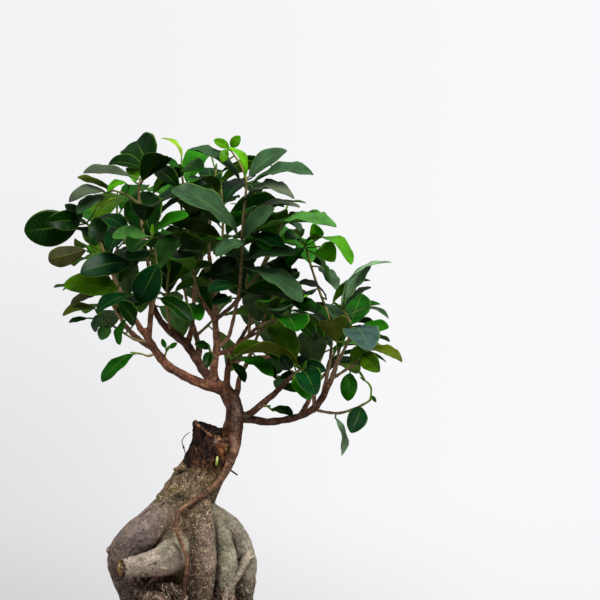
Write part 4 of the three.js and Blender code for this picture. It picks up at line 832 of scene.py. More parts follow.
def blade(leaf, seed):
    """Closed blade, folded, rippled and twisted, with (share along, share across, upper side) as marks."""
    along = leaf["tip"] - leaf["base"]
    length = np.linalg.norm(along)
    along = along / length
    side = np.cross(leaf["upper"], along)
    share = np.array(BLADE_ROWS)[:, None, None]
    column, upside = (values[:, None] for values in np.array(BLADE_RING, float).T)
    peak = BASE_TAPER / (BASE_TAPER + TIP_TAPER)
    outline = (share / peak) ** BASE_TAPER * ((1 - share) / (1 - peak)) ** TIP_TAPER
    half = leaf["width"] / 2 * outline
    turn = between(TWIST, seed + 2) * (share - 0.5)
    sides = side * np.cos(turn) + leaf["upper"] * np.sin(turn)
    uppers = leaf["upper"] * np.cos(turn) - side * np.sin(turn)
    hump = share * (1 - share)
    bend = math.sin(2 * math.pi * noise(seed + 3)) * SIDE_BEND * length
    curl = between(TIP_CURL, seed + 11) * length
    rise = 4 * hump * leaf["arch"] * length - curl * share**4
    middle = leaf["base"] + along * (share * length) + leaf["upper"] * rise + side * (bend * hump)
    fold = between(FOLD, seed) * np.abs(column) ** FOLD_POWER * half
    phase = 2 * math.pi * (between(RIPPLES, seed + 5) * share + noise(seed + 7) + 0.3 * np.sign(column))
    ripple = between(RIPPLE, seed + 9) * np.sin(phase) * column**2 * half
    rib = np.maximum(0, 1 - np.abs(column) / MIDRIB["width"]) * np.sqrt(1 - share)
    thick = BLADE_THICKNESS / 2 * (1.1 - column**2)
    relief = np.where(upside, thick - MIDRIB["groove"] * rib, -thick - MIDRIB["ridge"] * rib)
    places = middle + sides * (column * half) + uppers * (fold + ripple + relief)
    places = np.vstack([places.reshape(-1, 3), leaf["base"], leaf["tip"] - leaf["upper"] * curl])
    marks = np.concatenate(np.broadcast_arrays(share, column, upside), 2).reshape(-1, 3)
    marks = np.vstack([marks, (0, 0, 0.5), (1, 0, 0.5)])
    return places, closed(len(BLADE_ROWS), len(BLADE_RING), len(BLADE_COLUMNS) - 1), marks


def petiole(leaf):
    """Stalk from the middle of the twig to the blade's base, and a little way along its midrib."""
    inside = leaf["base"] + (leaf["tip"] - leaf["base"]) * PETIOLE_OVERLAP
    steps = np.linspace(0, 1, 6)[:, None]
    sag = leaf["base"] * 2 * steps * (1 - steps)
    centre = leaf["root"] * (1 - steps) ** 2 + sag + inside * steps**2
    radius = PETIOLE_RADIUS * np.interp(steps.ravel(), [0, 0.7, 1], [1, 1, 0.5])
    return tube(fine_line(centre, radius), PETIOLE_SIDES)


def bud(line):
    """Pointed sheath at the end of a twig."""
    centre, along, radius = line["centre"][-1], line["along"][-1], line["radius"][-1]
    steps = np.array([-1.0, 0.5, 2.0, 4.0, 5.5])
    sizes = radius * np.array([1.0, 1.25, 1.2, 0.7, 0.15])
    alongs = np.tile(along, (len(steps), 1))
    return tube({"centre": centre + alongs * steps[:, None], "along": alongs, "radius": sizes}, TWIG_SIDES)


def young_leaf(line, seed):
    """Small new leaf beside the bud at the end of a twig."""
    along = line["along"][-1]
    aside = unit(np.cross(along, [math.cos(6 * noise(seed)), math.sin(6 * noise(seed)), 0.2]))
    base = line["centre"][-1] - along
    heading = unit(along + aside * between(YOUNG["lean"], seed + 1))
    length = between(YOUNG["length"], seed + 2)
    return {
        "base": base,
        "tip": base + heading * length,
        "width": length * YOUNG["slenderness"],
        "upper": -unit(aside - heading * (aside @ heading)),
        "arch": YOUNG["arch"],
    }


def make_shoot(name, shoot, order):
    """One shoot: its twigs, each with a bud and a new leaf, and its leaves with their stalks."""
    piece = Piece()
    for points in shoot["twigs"]:
        line = limb_line(points, 4)
        twig = tube(line, TWIG_SIDES, scarred(line, *TWIG_SCARS, noise(order + 0.5) * 6))
        radii = twig[2][:, 2]
        tint = blend(*TWIG_TINTS, np.interp(radii, GREEN_RADII, (1, 0)))
        tint = blend(tint, SPRIG_TINT, np.interp(radii, FRESH_RADII, (shoot.get("fresh", 0), 0)))
        piece.add(twig, tint, 1)
        piece.add(bud(line), STALK_TINT, 1)
        piece.add(blade(young_leaf(line, order + 0.4), order + 0.4), YOUNG_TINTS[order % 2])
    for number, leaf in enumerate(shoot_leaves(name, shoot)):
        seed = 3 + 1.7 * order + 0.61 * number
        top, under = (linear(*tone) for tone in TONES[leaf["tone"]])
        shell = blade(leaf, seed)
        tint = np.where(shell[2][:, 2:] > 0.9, top, under)
        piece.add(shell, tint * between(SHADES, seed + 21))
        piece.add(petiole(leaf), blend(STALK_TINT, top, 0.3), 1)
    return piece.build(f"shoot_{name}", [LEAF, TWIG])


class Wire:
    """An output of a node, with the operations that the looks need."""

    def __init__(self, socket):
        self.socket = socket

    def feed(self, kind, inputs, output=0, **settings):
        """An output of a new node in the same tree."""
        return Wire(add_node(self.socket.id_data, kind, inputs, **settings).outputs[output])

    def math(self, operation, other=0.0):
        return self.feed("Math", {0: self, 1: other}, operation=operation)

    def __add__(self, other):
        return self.math("ADD", other)

    def __sub__(self, other):
        return self.math("SUBTRACT", other)

    def __mul__(self, other):
        return self.math("MULTIPLY", other)

    def vector(self, operation, other):
        return self.feed("VectorMath", {0: self, 1: other}, operation=operation)

    def split(self):
        return [Wire(socket) for socket in add_node(self.socket.id_data, "SeparateXYZ", {0: self}).outputs]

    def joined(self, y, z):
        """Vector of this number and two more."""
        return self.feed("CombineXYZ", {0: self, 1: y, 2: z})

    def grade(self, low, high, bottom=0.0, top=1.0):
        """Smooth step of this number from low to high, given as a number from bottom to top."""
        inputs = {"Value": self, "From Min": low, "From Max": high, "To Min": bottom, "To Max": top}
        return self.feed("MapRange", inputs, interpolation_type="SMOOTHSTEP")

    def noise(self, scale, detail=3.0, roughness=0.55):
        """Noise at the place that this vector gives."""
        inputs = {"Vector": self, "Scale": scale, "Detail": detail, "Roughness": roughness}
        return self.feed("TexNoise", inputs)

    def between(self, first, second):
        """Colour from first to second by this share."""
        return self.feed("Mix", {0: self, 6: first, 7: second}, 2, data_type="RGBA")

    def shade(self, light):
        """This colour made lighter or darker by a number."""
        inputs = {0: 1.0, 6: self, 7: light.joined(light, light)}
        return self.feed("Mix", inputs, 2, data_type="RGBA", blend_type="MULTIPLY")


def join(socket, value):
    """Sets an input to a value, or links it to a wire."""
    if isinstance(value, Wire):
        socket.id_data.links.new(value.socket, socket)
    else:
        socket.default_value = value


def add_node(tree, kind, inputs, **settings):
    node = tree.nodes.new("ShaderNode" + kind)
    for name, value in settings.items():
        setattr(node, name, value)
    for key, value in inputs.items():
        join(node.inputs[key], value)
    return node


def source(tree, kind, output, **settings):
    return Wire(add_node(tree, kind, {}, **settings).outputs[output])


class Look:
    """A material that is being made: where its wires start and where they end."""

    def __init__(self, name):
        self.material = bpy.data.materials.new(name)
        self.material.use_nodes = True
        self.tree = self.material.node_tree
        self.inputs = self.tree.nodes["Principled BSDF"].inputs
        self.place = source(self.tree, "TexCoord", "Object")

    def attribute(self, name, output="Color"):
        return source(self.tree, "Attribute", output, attribute_name=name)

    def finish(self, colour, roughness, specular, height=None, depth=0.0):
        """The material, with bumps of the given depth in millimetres where it has a height."""
        join(self.inputs["Base Color"], colour)
        join(self.inputs["Roughness"], roughness)
        join(self.inputs["Specular IOR Level"], specular)
        if height is not None:
            bump = height.feed("Bump", {"Height": height, "Distance": depth * MM, "Strength": 1.0})
            join(self.inputs["Normal"], bump)
        return self.material


def opaque(red, green, blue):
    return (*linear(red, green, blue), 1.0)


SIDE_VEINS = 11
# How far a side vein runs towards the tip on its way to the edge, as a share of the blade
VEIN_SLANT = 0.17
RIB_COLOUR = opaque(128, 166, 62)
PALE_BARK, DIRT, GRIT = opaque(196, 172, 156), opaque(30, 20, 12), opaque(220, 198, 164)
DARK_CLAY, BROWN_CLAY = opaque(52, 45, 41), opaque(72, 62, 55)
PALE_GRIT, DARK_GRIT = opaque(128, 112, 96), opaque(22, 19, 18)


def leaf_material():
    """Leaf with a midrib, side veins and a paler edge, glossier on its upper side."""
    look = Look("leaf")
    share, column, top = look.attribute("mark", "Vector").split()
    off_rib = column.math("ABSOLUTE")
    mottle = look.place.noise(70.0, 4.0)
    rib = off_rib.grade(0.06, 0.015) * share.grade(1.0, 0.35, 0.1, 0.6)
    ridge = ((share - off_rib * VEIN_SLANT) * (2 * math.pi * SIDE_VEINS)).math("SINE")
    vein = ridge.grade(0.82, 1.0) * off_rib.grade(0.85, 0.5)
    colour = look.attribute("tint").shade(mottle.grade(0.32, 0.68, 0.7, 1.32))
    for cover in (vein * 0.05, rib * 0.5, off_rib.grade(0.88, 1.0, 0.0, 0.4)):
        colour = cover.between(colour, RIB_COLOUR)
    height = vein * -0.3 + look.place.noise(900.0, 2.0) * 0.3 + mottle * 1.2
    return look.finish(colour, top.grade(0.2, 0.8, 0.6, 0.36), specular=0.1, height=height, depth=0.12)


def twig_material():
    look = Look("twig")
    patch = look.place.noise(260.0)
    colour = look.attribute("tint").shade(patch.grade(0.3, 0.7, 0.72, 1.25))
    return look.finish(colour, roughness=0.55, specular=0.4, height=patch, depth=0.3)


def bark_material(name, wrinkle, furrow, fleck, contrast, roughness):
    """Bark with wrinkles across each limb, furrows along it, pits, flecks, and painted shade where limbs
    meet.
    """
    look = Look(name)
    along, around, crease = look.attribute("mark", "Vector").split()
    tint, dead = look.attribute("tint"), look.attribute("tint", "Alpha")
    grime = look.attribute("grime", "Fac")
    place = look.place
    patch = place.noise(130.0, 5.0, 0.65)
    cross = (along * 0.5 + patch * 3.0).joined(around * 0.11, 0.0).noise(1.0, 4.0, 0.6)
    groove = (along * 0.07).joined(around * 0.5, patch).noise(1.2, 3.0, 0.6)
    speck = place.noise(560.0, 3.0, 0.7)
    pale = place.vector("ADD", (0.3, 0.1, 0.7)).noise(430.0, 3.0, 0.7)
    colour = tint.shade(place.noise(45.0).grade(0.34, 0.66, 1 - contrast, 1 + contrast))
    colour = colour.shade(patch.grade(0.34, 0.66, -1.0, 1.3) * contrast * (grime + 0.7) + 1.0)
    colour = patch.grade(0.52, 0.68, 0.0, 0.18).between(colour, PALE_BARK)
    colour = colour.shade(cross.grade(0.36, 0.58, 1 - wrinkle, 1.08))
    colour = colour.shade(groove.grade(0.42, 0.58, 1 - furrow, 1 + furrow))
    colour = colour.shade(place.noise(300.0, 1.0).grade(0.3, 0.26, 1.0, 0.25))
    colour = (speck.grade(0.47, 0.36) * (grime * fleck)).between(colour, DIRT)
    colour = (pale.grade(0.57, 0.66) * (grime * fleck)).between(colour, GRIT)
    fibres = place.vector("MULTIPLY", (1.0, 1.0, 0.6))
    chip = fibres.noise(190.0, 5.0, 0.7)
    wood = tint.shade(chip.grade(0.4, 0.64, 0.12, 3.0))
    wood = wood.shade(fibres.noise(80.0, 4.0).grade(0.4, 0.52, 0.4, 1.15))
    # Painted shade: the bark is darkened in the creases where two limbs meet
    colour = dead.between(colour, wood).shade(crease.grade(0.1, 0.9, 1.0, 0.15))
    height = cross * 0.6 + speck * 0.8 + groove * (4 * furrow) + patch + chip * dead * 2.5
    return look.finish(colour, roughness, specular=0.25, height=height, depth=1.3)


def soil_material():
    look = Look("soil")
    crumb = look.place.noise(500.0, 4.0)
    colour = look.attribute("tint").shade(crumb.grade(0.3, 0.7, 0.55, 1.35))
    return look.finish(colour, roughness=0.95, specular=0.2, height=crumb, depth=1.2)


def pot_material():
    """Unglazed dark stoneware with faint firing clouds, and pale and dark grit."""
    look = Look("stoneware")
    cloud = look.place.noise(14.0, 4.0)
    grit = look.place.noise(1400.0, 2.0)
    colour = cloud.grade(0.35, 0.65).between(DARK_CLAY, BROWN_CLAY)
    colour = grit.grade(0.63, 0.7, 0.0, 0.5).between(colour, PALE_GRIT)
    colour = grit.grade(0.36, 0.3, 0.0, 0.6).between(colour, DARK_GRIT)
    return look.finish(colour, cloud.grade(0.3, 0.7, 0.58, 0.72), specular=0.4, height=grit, depth=0.18)


def floor_material():
    """Pale floor that fades out away from the pot."""
    look = Look("floor")
    x, y, _ = look.place.split()
    join(look.inputs["Alpha"], (x * x + y * y).math("SQRT").grade(0.42, 0.16))
    return look.finish((0.82, 0.82, 0.83, 1.0), roughness=0.9, specular=0.1)


LEAF = leaf_material()
TWIG = twig_material()
ROOT_BARK = bark_material("root_bark", wrinkle=0.14, furrow=0.1, fleck=0.95, contrast=0.2, roughness=0.85)
YOUNG_BARK = bark_material("young_bark", wrinkle=0.45, furrow=0.3, fleck=0.4, contrast=0.26, roughness=0.55)
SOIL = soil_material()
STONEWARE = pot_material()


# Tints of the bark by limb
ROOT_TINTS = tinted(
    stump=(124, 98, 62),
    left=(140, 122, 114),
    cut=(166, 152, 136),
    front_middle=(88, 70, 53),
    front_right=(152, 146, 124),
    right=(160, 152, 134),
    crossing=(176, 160, 140),
    back_left=(138, 126, 110),
    back_middle=(138, 128, 110),
    back_right=(144, 136, 114),
    snag=(136, 116, 80),
    tuft=(112, 104, 58),
    corner=(120, 100, 90),
    shoulder=(118, 100, 74),
    under_left=(140, 114, 98),
    under_middle=(84, 66, 56),
)
SCION_TINTS = tinted(
    stem=(148, 98, 72),
    aerial_root=(132, 94, 68),
    graft=(120, 78, 52),
    a=(150, 95, 70),
    c=(166, 114, 86),
    g=(98, 60, 41),
    f=(104, 65, 46),
    b=(106, 67, 49),
)
BRANCH_TINT = linear(154, 104, 78)
DEAD_TINT = linear(42, 23, 14)
CUT_FACE_TINT = linear(50, 36, 30)
# Paler torn edge of the stump's cut, lightened further by a painted highlight along the rim
CUT_EDGE_AND_HIGHLIGHT_TINT = linear(128, 92, 66)
CUT_END_TINT = linear(150, 116, 64)
CUT_RIM_TINT = linear(60, 40, 28)
# How much dirt and how many specks lie on a limb
GRIME = {
    "stump": 1, "front_middle": 1, "shoulder": 1, "left": 0.3, "cut": 0.35, "front_right": 0.5, "right": 0.5,
}
PLAIN_GRIME = 0.6
SCION_GRIME = 0.5

# Short stubs that stand out of the rootstock. Each point is (across, depth, up, radius).
STUBS = {
    "snag": [(4, -8, 235, 6), (-4, -11, 232, 4), (-12, -12, 230, 1.4)],
    "tuft": [(-18, -14, 197, 6), (-25, -16, 202, 3.6), (-28, -17, 206, 1.6)],
    "corner": [(-64, -12, 151, 9), (-73, -12, 150, 5.5), (-79, -12, 149, 1.6)],
    "shoulder": [
        (12, -13, 202, 12), (9, -21, 180, 12), (8, -25, 160, 10), (9, -27, 138, 7), (10, -28, 116, 5),
    ],
    "under_left": [(-48, -20, 106, 5), (-35, -30, 103, 7), (-22, -36, 98, 8.5), (-9, -38, 88, 7)],
    "under_middle": [(-28, -28, 116, 4), (-15, -34, 111, 5.5), (-3, -38, 103, 6), (4, -38, 92, 5)],
}

# Marks that change the colour and height of the bark round a place, mostly stain, moss and bare wood, some
# painted light and shade: (across, depth, up) of the place, reach across and up, tone, strength, height
STAINS_AND_PAINTED_LIGHT = [
    # Knot hole: a shallow dent painted near black, as painted shade inside a deeper hole
    ((-7.5, -20, 203.5), 6.5, 6, (20, 14, 9), 1, -3.5),
    ((-7, -20, 210), 9, 4, (150, 134, 62), 0.5, 0.6),
    ((24, -27, 197), 2.4, 3.6, (206, 160, 116), 0.8, 1),
    ((38, -14, 247), 7, 11, (150, 92, 50), 0.7, 0),
    ((45, -10, 257), 2.6, 7, (255, 214, 158), 1, 0.8),
    ((42, -13, 241), 3, 5, (208, 132, 90), 0.7, 0.5),
    ((33, -17, 260), 6, 3, (150, 124, 112), 0.7, 0.6),
    ((17, -14, 262), 7, 7, (34, 20, 14), 0.8, -1.2),
    ((30, -16, 246), 4, 8, (40, 22, 14), 0.8, -0.8),
    ((22, -16, 238), 14, 3, (96, 62, 46), 0.6, 0),
    ((-30, -42, 126), 18, 7, (190, 156, 138), 0.6, 0),
    ((-16, -34, 154), 14, 8, (160, 160, 128), 0.6, 0),
    # Front root's right side: pinkish bark, lightened further as painted light on its lit side
    ((24, -42, 150), 7, 30, (176, 150, 134), 0.65, 0),
    ((42, -32, 146), 9, 12, (136, 144, 112), 0.4, 0),
    ((-52, -24, 122), 18, 14, (78, 55, 43), 0.8, 0),
    ((-44, -30, 158), 12, 9, (116, 104, 106), 0.6, 0),
    ((36, -24, 196), 4, 10, (178, 140, 108), 0.5, 0),
    ((-68, -16, 134), 8, 14, (92, 66, 54), 0.8, 0),
    # Painted shadow: a dark band under the overhanging cut root
    ((-18, -30, 114), 24, 5, (40, 29, 23), 0.8, 0),
    # Painted shade: the front root's left side darkened
    ((7, -38, 150), 3.5, 26, (66, 50, 38), 0.7, 0),
]
SCION_STAINS_AND_PAINTED_LIGHT = [
    ((45, -8, 286), 4, 11, (62, 32, 24), 0.95, 0),
    # Painted highlight down the middle of the stem's neck
    ((52, -8, 291), 3, 11, (214, 178, 162), 0.9, 0.4),
    # Painted shade in the crotch where a branch leaves the stem
    ((62, -6, 293), 5, 3.5, (44, 34, 30), 0.8, 0),
    ((60, -7, 282), 4, 4, (128, 116, 96), 0.6, 0),
    ((36, -6, 303), 3, 8, (74, 48, 42), 0.8, 0),
    ((50, -12, 256), 3, 13, (172, 136, 118), 0.7, 0),
    ((45, -16, 243), 4, 9, (70, 46, 34), 0.8, 0),
    ((56, -8, 270), 2.6, 16, (72, 42, 32), 0.8, 0),
    ((148, -10, 328), 9, 20, (200, 148, 116), 0.85, 0),
    ((133, -4, 292), 9, 7, (158, 110, 84), 0.7, 0),
    ((30, 14, 390), 8, 26, (206, 158, 122), 0.6, 0),
]


def applied(thing):
    """New mesh of an object with its modifiers applied."""
    bpy.context.view_layer.update()
    return bpy.data.meshes.new_from_object(thing.evaluated_get(bpy.context.evaluated_depsgraph_get()))


def mesh_places(mesh):
    """Vertices of a mesh in millimetres, and their normals."""
    places = np.empty(len(mesh.vertices) * 3)
    mesh.vertices.foreach_get("co", places)
    normals = np.empty(len(mesh.vertices) * 3)
    mesh.vertex_normals.foreach_get("vector", normals)
    return places.reshape(-1, 3) / MM, normals.reshape(-1, 3)


def skin(shells, voxel, rounds):
    """One closed skin round overlapping shells: its vertices, their normals and its faces."""
    piece = Piece()
    for shell in shells:
        piece.add(shell, (0, 0, 0))
    rough = piece.build("skin", [])
    remesh = rough.modifiers.new("skin", "REMESH")
    remesh.mode = "VOXEL"
    remesh.voxel_size = voxel * MM
    smooth = rough.modifiers.new("smooth", "SMOOTH")
    smooth.factor = 0.5
    smooth.iterations = rounds
    whole = applied(rough)
    places, normals = mesh_places(whole)
    faces = [tuple(face.vertices) for face in whole.polygons]
    for mesh in (rough.data, whole):
        bpy.data.meshes.remove(mesh)
    return places, normals, faces


# Two limbs meet in a crease, by the cosine between their outward directions: there is none above the first
# number, and it is full where the cosine is lower by the second
CREASE_TURN = (0.75, 0.9)


def on_limbs(places, lines, tints, softness):
    """Tint of each place on a bark, its marks (along, around, crease) and the number of its nearest limb."""
    gaps, alongs, arounds, outs = [], [], [], []
    for line in lines.values():
        firsts, seconds = frames(line["along"])
        squares = np.sum(places**2, 1)[:, None] + np.sum(line["centre"] ** 2, 1)
        far = np.sqrt(np.maximum(squares - 2 * places @ line["centre"].T, 0)) - line["radius"]
        near = np.argmin(far, 1)
        out = places - line["centre"][near]
        x, y, away = (np.sum(out * axes[near], 1) for axes in (firsts, seconds, line["along"]))
        gaps.append(np.min(far, 1))
        alongs.append(reaches(line["centre"])[near] + away)
        arounds.append(np.arctan2(y, x) * line["radius"][near])
        outs.append(out / np.maximum(np.linalg.norm(out, axis=1), 0.1)[:, None])
    gaps, alongs, arounds, outs = (np.array(values) for values in (gaps, alongs, arounds, outs))
    nearest, second = np.argsort(gaps, 0)[:2]
    first, next_one = (nearest, np.arange(len(places))), (second, np.arange(len(places)))
    weights = np.exp(-(gaps - gaps[first]) / softness)
    tint = weights.T @ np.array([tints.get(name, BRANCH_TINT) for name in lines]) / weights.sum(0)[:, None]
    turn = np.sum(outs[first] * outs[next_one], 1)
    crease = np.exp(-(gaps[next_one] - gaps[first]) / softness)
    crease = crease * np.clip((CREASE_TURN[0] - turn) / CREASE_TURN[1], 0, 1)
    return tint, np.column_stack([alongs[first], arounds[first], crease]), nearest


def bumps(places, size, seed):
    """Smooth noise from -1 to 1 at each place, with features of the given size in millimetres."""
    shift = Vector((seed * 11.3, seed * 7.1, seed * 3.7))
    return np.array([field.noise(Vector(place / size) + shift) for place in places])


def step_up(value, low, high):
    """Smooth step from 0 at low to 1 at high."""
    share = np.clip((value - low) / (high - low), 0, 1)
    return share * share * (3 - 2 * share)


def build_wood(name, shell, tint, dead, grime, material):
    piece = Piece()
    piece.add(shell, tint)
    made = piece.build(name, [material], dead)
    made.data.attributes.new("grime", "FLOAT", "POINT").data.foreach_set("value", grime)
    return made


def sawn(places, faces):
    """The stump's shell, cut off along the sloping saw cut and closed."""
    tilt = STUMP_CUT["tilt"]
    shell = bmesh.new()
    corners = [shell.verts.new(place) for place in places]
    for face in faces:
        shell.faces.new([corners[corner] for corner in face])
    cut = bmesh.ops.bisect_plane(
        shell,
        geom=shell.verts[:] + shell.edges[:] + shell.faces[:],
        plane_co=(STUMP_CUT["across"], 0, STUMP_CUT["up"]),
        plane_no=(math.sin(tilt), 0, math.cos(tilt)),
        clear_outer=True,
    )
    edges = [part for part in cut["geom_cut"] if isinstance(part, bmesh.types.BMEdge)]
    bmesh.ops.contextual_create(shell, geom=edges)
    shell.verts.index_update()
    places = np.array([vertex.co for vertex in shell.verts])
    faces = [tuple(vertex.index for vertex in face.verts) for face in shell.faces]
    shell.free()
    return places, faces, (0, 0, 0)


# Middle of the stump's cut face: its x and y
STUMP_HEART = (29, 6)


def at_cut(places, low, high):
    """How far each place is in the stump's cut: 0 up to low and 1 from high, counted upwards from the cut."""
    x, _, z = places.T
    height = STUMP_CUT["up"] - math.tan(STUMP_CUT["tilt"]) * (x - STUMP_CUT["across"])
    return step_up(z - height, low, high) * step_up(z, 240, 250) * step_up(-x, -56, -50)


def off_heart(places):
    return np.hypot(places[:, 0] - STUMP_HEART[0], places[:, 1] - STUMP_HEART[1])


def cut_face(places, tint):
    """Tints near the stump's cut: a dark face inside a paler torn edge, which carries a painted highlight
    along its rim.
    """
    near = at_cut(places, -4, -1.5)
    rim = step_up(off_heart(places), 17, 19.5)
    tint = blend(tint, CUT_FACE_TINT, near * (1 - rim))
    return blend(tint, CUT_EDGE_AND_HIGHLIGHT_TINT, near * rim)


def ragged_top(places):
    """Change of height near the stump's cut: lower in front and inside, with a torn rim."""
    x, y, _ = places.T
    torn = 1.3 * bumps(places * [1, 1, 0.2], 7, 21) + 0.6 * bumps(places * [1, 1, 0.2], 2.8, 22)
    front = -6 * step_up(-y, -6, 12) * step_up(x, 8, 34)
    corner = -2 + 2.2 * np.exp(-(((x - 13) / 5) ** 2))
    inside = -3.5 * step_up(-off_heart(places), -19, -14)
    return at_cut(places, -12, -1) * (torn + front + corner + inside)


def with_stains_and_painted_light(places, tint, relief, dead, stains_and_painted_light):
    """Tints, heights and dead shares of a bark with its marks, painted light and shade among them. A bright
    mark isn't dead wood.
    """
    ragged = 1 + 0.5 * bumps(places, 5, 31) + 0.3 * bumps(places, 2.2, 32)
    for place, wide, tall, tone, strength, height in stains_and_painted_light:
        colour = linear(*tone)
        off = (places - seen(*place)) / [wide, wide + 4, tall] * ragged[:, None]
        near = strength * np.exp(-np.sum(off**2, 1))
        tint = blend(tint, colour, near)
        relief = relief + height * near
        dead = dead * (1 - near * max(colour))
    return tint, relief, dead


def sawn_end(places, tint, line):
    """Tints with the sawn end of the cut root: rings round its heart, and a dark rim."""
    heart, along = line["centre"][-1], line["along"][-1]
    reach = np.linalg.norm(places - heart, axis=1)
    disc = ((places - heart) @ along > -1.4) & (reach < 12)
    rings = 0.75 + 0.25 * np.cos(reach * 2.1) + 0.3 * bumps(places, 2.5, 33)
    end = blend(CUT_END_TINT * rings[:, None], CUT_RIM_TINT, step_up(reach + bumps(places, 4, 34), 5.6, 7.4))
    return np.where(disc[:, None], end, tint)


def make_rootstock():
    lines = {name: limb_line(points, 5) for name, points in (ROOTS | STUBS).items()}
    shells = {name: tube(line, 32) for name, line in lines.items()}
    shells["stump"] = sawn(*shells["stump"][:2])
    places, normals, faces = skin(shells.values(), voxel=1.3, rounds=4)
    tint, marks, limb = on_limbs(places, lines, ROOT_TINTS, softness=3.5)
    up = places[:, 2]
    grime = np.array([GRIME.get(name, PLAIN_GRIME) for name in lines])[limb]
    grime = np.clip(grime + step_up(bumps(places, 22, 12), 0.1, 0.5) * 0.4 + step_up(-up, -128, -104), 0, 1)
    wander = bumps(places, 9, 5) + 0.6 * bumps(places, 3.5, 15)
    edge = 231 + 0.8 * np.maximum(7 - places[:, 0], 0)
    dead = step_up(up + 4 * wander - edge, -4, 4)
    tint = blend(tint, DEAD_TINT, dead)
    relief = bumps(places, 16, 1) + 0.6 * bumps(places, 6, 2) + 0.35 * bumps(places, 2.6, 3)
    chips = places * [1, 1, 0.6]
    relief += dead * (1.5 * bumps(chips, 5, 4) + 0.8 * bumps(chips, 2.4, 8))
    relief -= 0.8 * marks[:, 2]
    tint, relief, dead = with_stains_and_painted_light(places, tint, relief, dead, STAINS_AND_PAINTED_LIGHT)
    tint = cut_face(places, sawn_end(places, tint, lines["cut"]))
    places = places + normals * relief[:, None] + UP * ragged_top(places)[:, None]
    made = build_wood("rootstock_bark", (places, faces, marks), tint, dead, grime, ROOT_BARK)
    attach(made, "root")
    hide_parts("rootstock")
    return made


# Leaf scars along the scion's limbs: their height as a share of the radius, and their spacing
LIMB_SCARS = (0.05, 2.3)


def make_scion():
    lines = {name: limb_line(points, 5) for name, points in SCION.items()}
    shells = []
    for order, (name, line) in enumerate(lines.items()):
        height, spacing = (0, 1) if name == "aerial_root" else LIMB_SCARS
        shells.append(tube(line, 14, scarred(line, height, spacing, 6 * noise(order + 0.3))))
    places, normals, faces = skin(shells, voxel=0.85, rounds=3)
    tint, marks, _ = on_limbs(places, lines, SCION_TINTS, softness=1.2)
    relief = 0.15 + 0.5 * bumps(places, 7, 6) + 0.25 * bumps(places, 3, 7)
    sound = np.zeros(len(places))
    tint, relief, _ = with_stains_and_painted_light(places, tint, relief, sound, SCION_STAINS_AND_PAINTED_LIGHT)
    places = places + normals * relief[:, None]
    made = build_wood("scion_bark", (places, faces, marks), tint, sound, sound + SCION_GRIME, YOUNG_BARK)
    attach(made, "root")
    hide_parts("scion")


def rock():
    """Corners and faces of an icosahedron of radius 1."""
    golden = (1 + math.sqrt(5)) / 2
    corners = []
    for a in (-1, 1):
        for b in (-golden, golden):
            corners += [(0, a, b), (a, b, 0), (b, 0, a)]
    corners = np.array(corners) / math.sqrt(1 + golden**2)
    faces = []
    for i in range(12):
        for j in range(i + 1, 12):
            for k in range(j + 1, 12):
                sides = [np.linalg.norm(corners[a] - corners[b]) for a, b in ((i, j), (j, k), (i, k))]
                if max(sides) < 1.2:
                    outward = np.cross(corners[j] - corners[i], corners[k] - corners[i]) @ corners[i] > 0
                    faces.append((i, j, k) if outward else (i, k, j))
    return corners, faces


ROCK_CORNERS, ROCK_FACES = rock()
FIBRE_SHAPE = np.array([0.5, 0.9, 1, 1, 0.9, 0.7, 0.3])


def fibre(centre, radius):
    """Fine root through seven points, thickest in its middle."""
    return tube(fine_line(centre, radius * FIBRE_SHAPE), 6)


# Fine roots and twigs on the rootstock: tint, then (across, depth, up, radius) of each point
BROWN, DUSKY, PALE = linear(84, 54, 40), linear(44, 38, 38), linear(206, 196, 168)
ROOTLETS = [
    (DUSKY, [
        (5, -8, 268, 0.3), (0, -9, 264, 0.4), (-3, -9, 259, 0.45), (-1.5, -9, 253, 0.5), (1, -9, 245, 0.5),
    ]),
    (DUSKY, [(-1.8, -9, 254, 0.9), (-1, -9, 251.5, 0.9)]),
    (BROWN, [(41, -16, 234, 1.1), (46, -19, 229.5, 0.9), (52.5, -21, 225, 0.8)]),
    (PALE, [(54, -15, 134, 0.6), (61, -18, 139.5, 0.8), (69, -16, 143.5, 0.7)]),
    (BROWN, [(-17, -28, 170.5, 0.4), (-10, -40, 169.5, 0.5), (-8, -42, 169, 0.5)]),
    (BROWN, [(12, -32, 203, 0.4), (18, -34, 199, 0.5), (20, -34, 190, 0.4)]),
]
SPROUT_TINTS = (linear(170, 196, 40), linear(232, 240, 150))
SPROUT = [(31.5, -15, 234.5, 0.8), (31.5, -18, 236, 1.3), (32.2, -19, 241, 1.2), (32.4, -18.5, 243.6, 0.6)]

# Where fine roots and crumbs cling to the bark: (from, to) across and up, how many, and their tints
BLACK, PINK, SAND = linear(30, 24, 20), linear(158, 126, 110), linear(196, 176, 148)
MATS = [
    ((-54, 8), (94, 122), 260, (BROWN, BLACK, PINK, BROWN, BLACK, SAND)),
    ((26, 74), (94, 118), 110, (BROWN, BLACK, PINK, SAND)),
    ((-30, 6), (196, 214), 26, (linear(120, 112, 50), linear(70, 66, 34), BROWN)),
    ((6, 48), (228, 268), 50, (BROWN, BLACK, linear(150, 96, 60))),
    ((-60, 66), (126, 196), 46, (BROWN, SAND, PINK)),
]
MAT_LENGTH = (4, 13)
MAT_RADIUS = (0.25, 0.6)
CRUMB_SIZE = (0.5, 1.3)


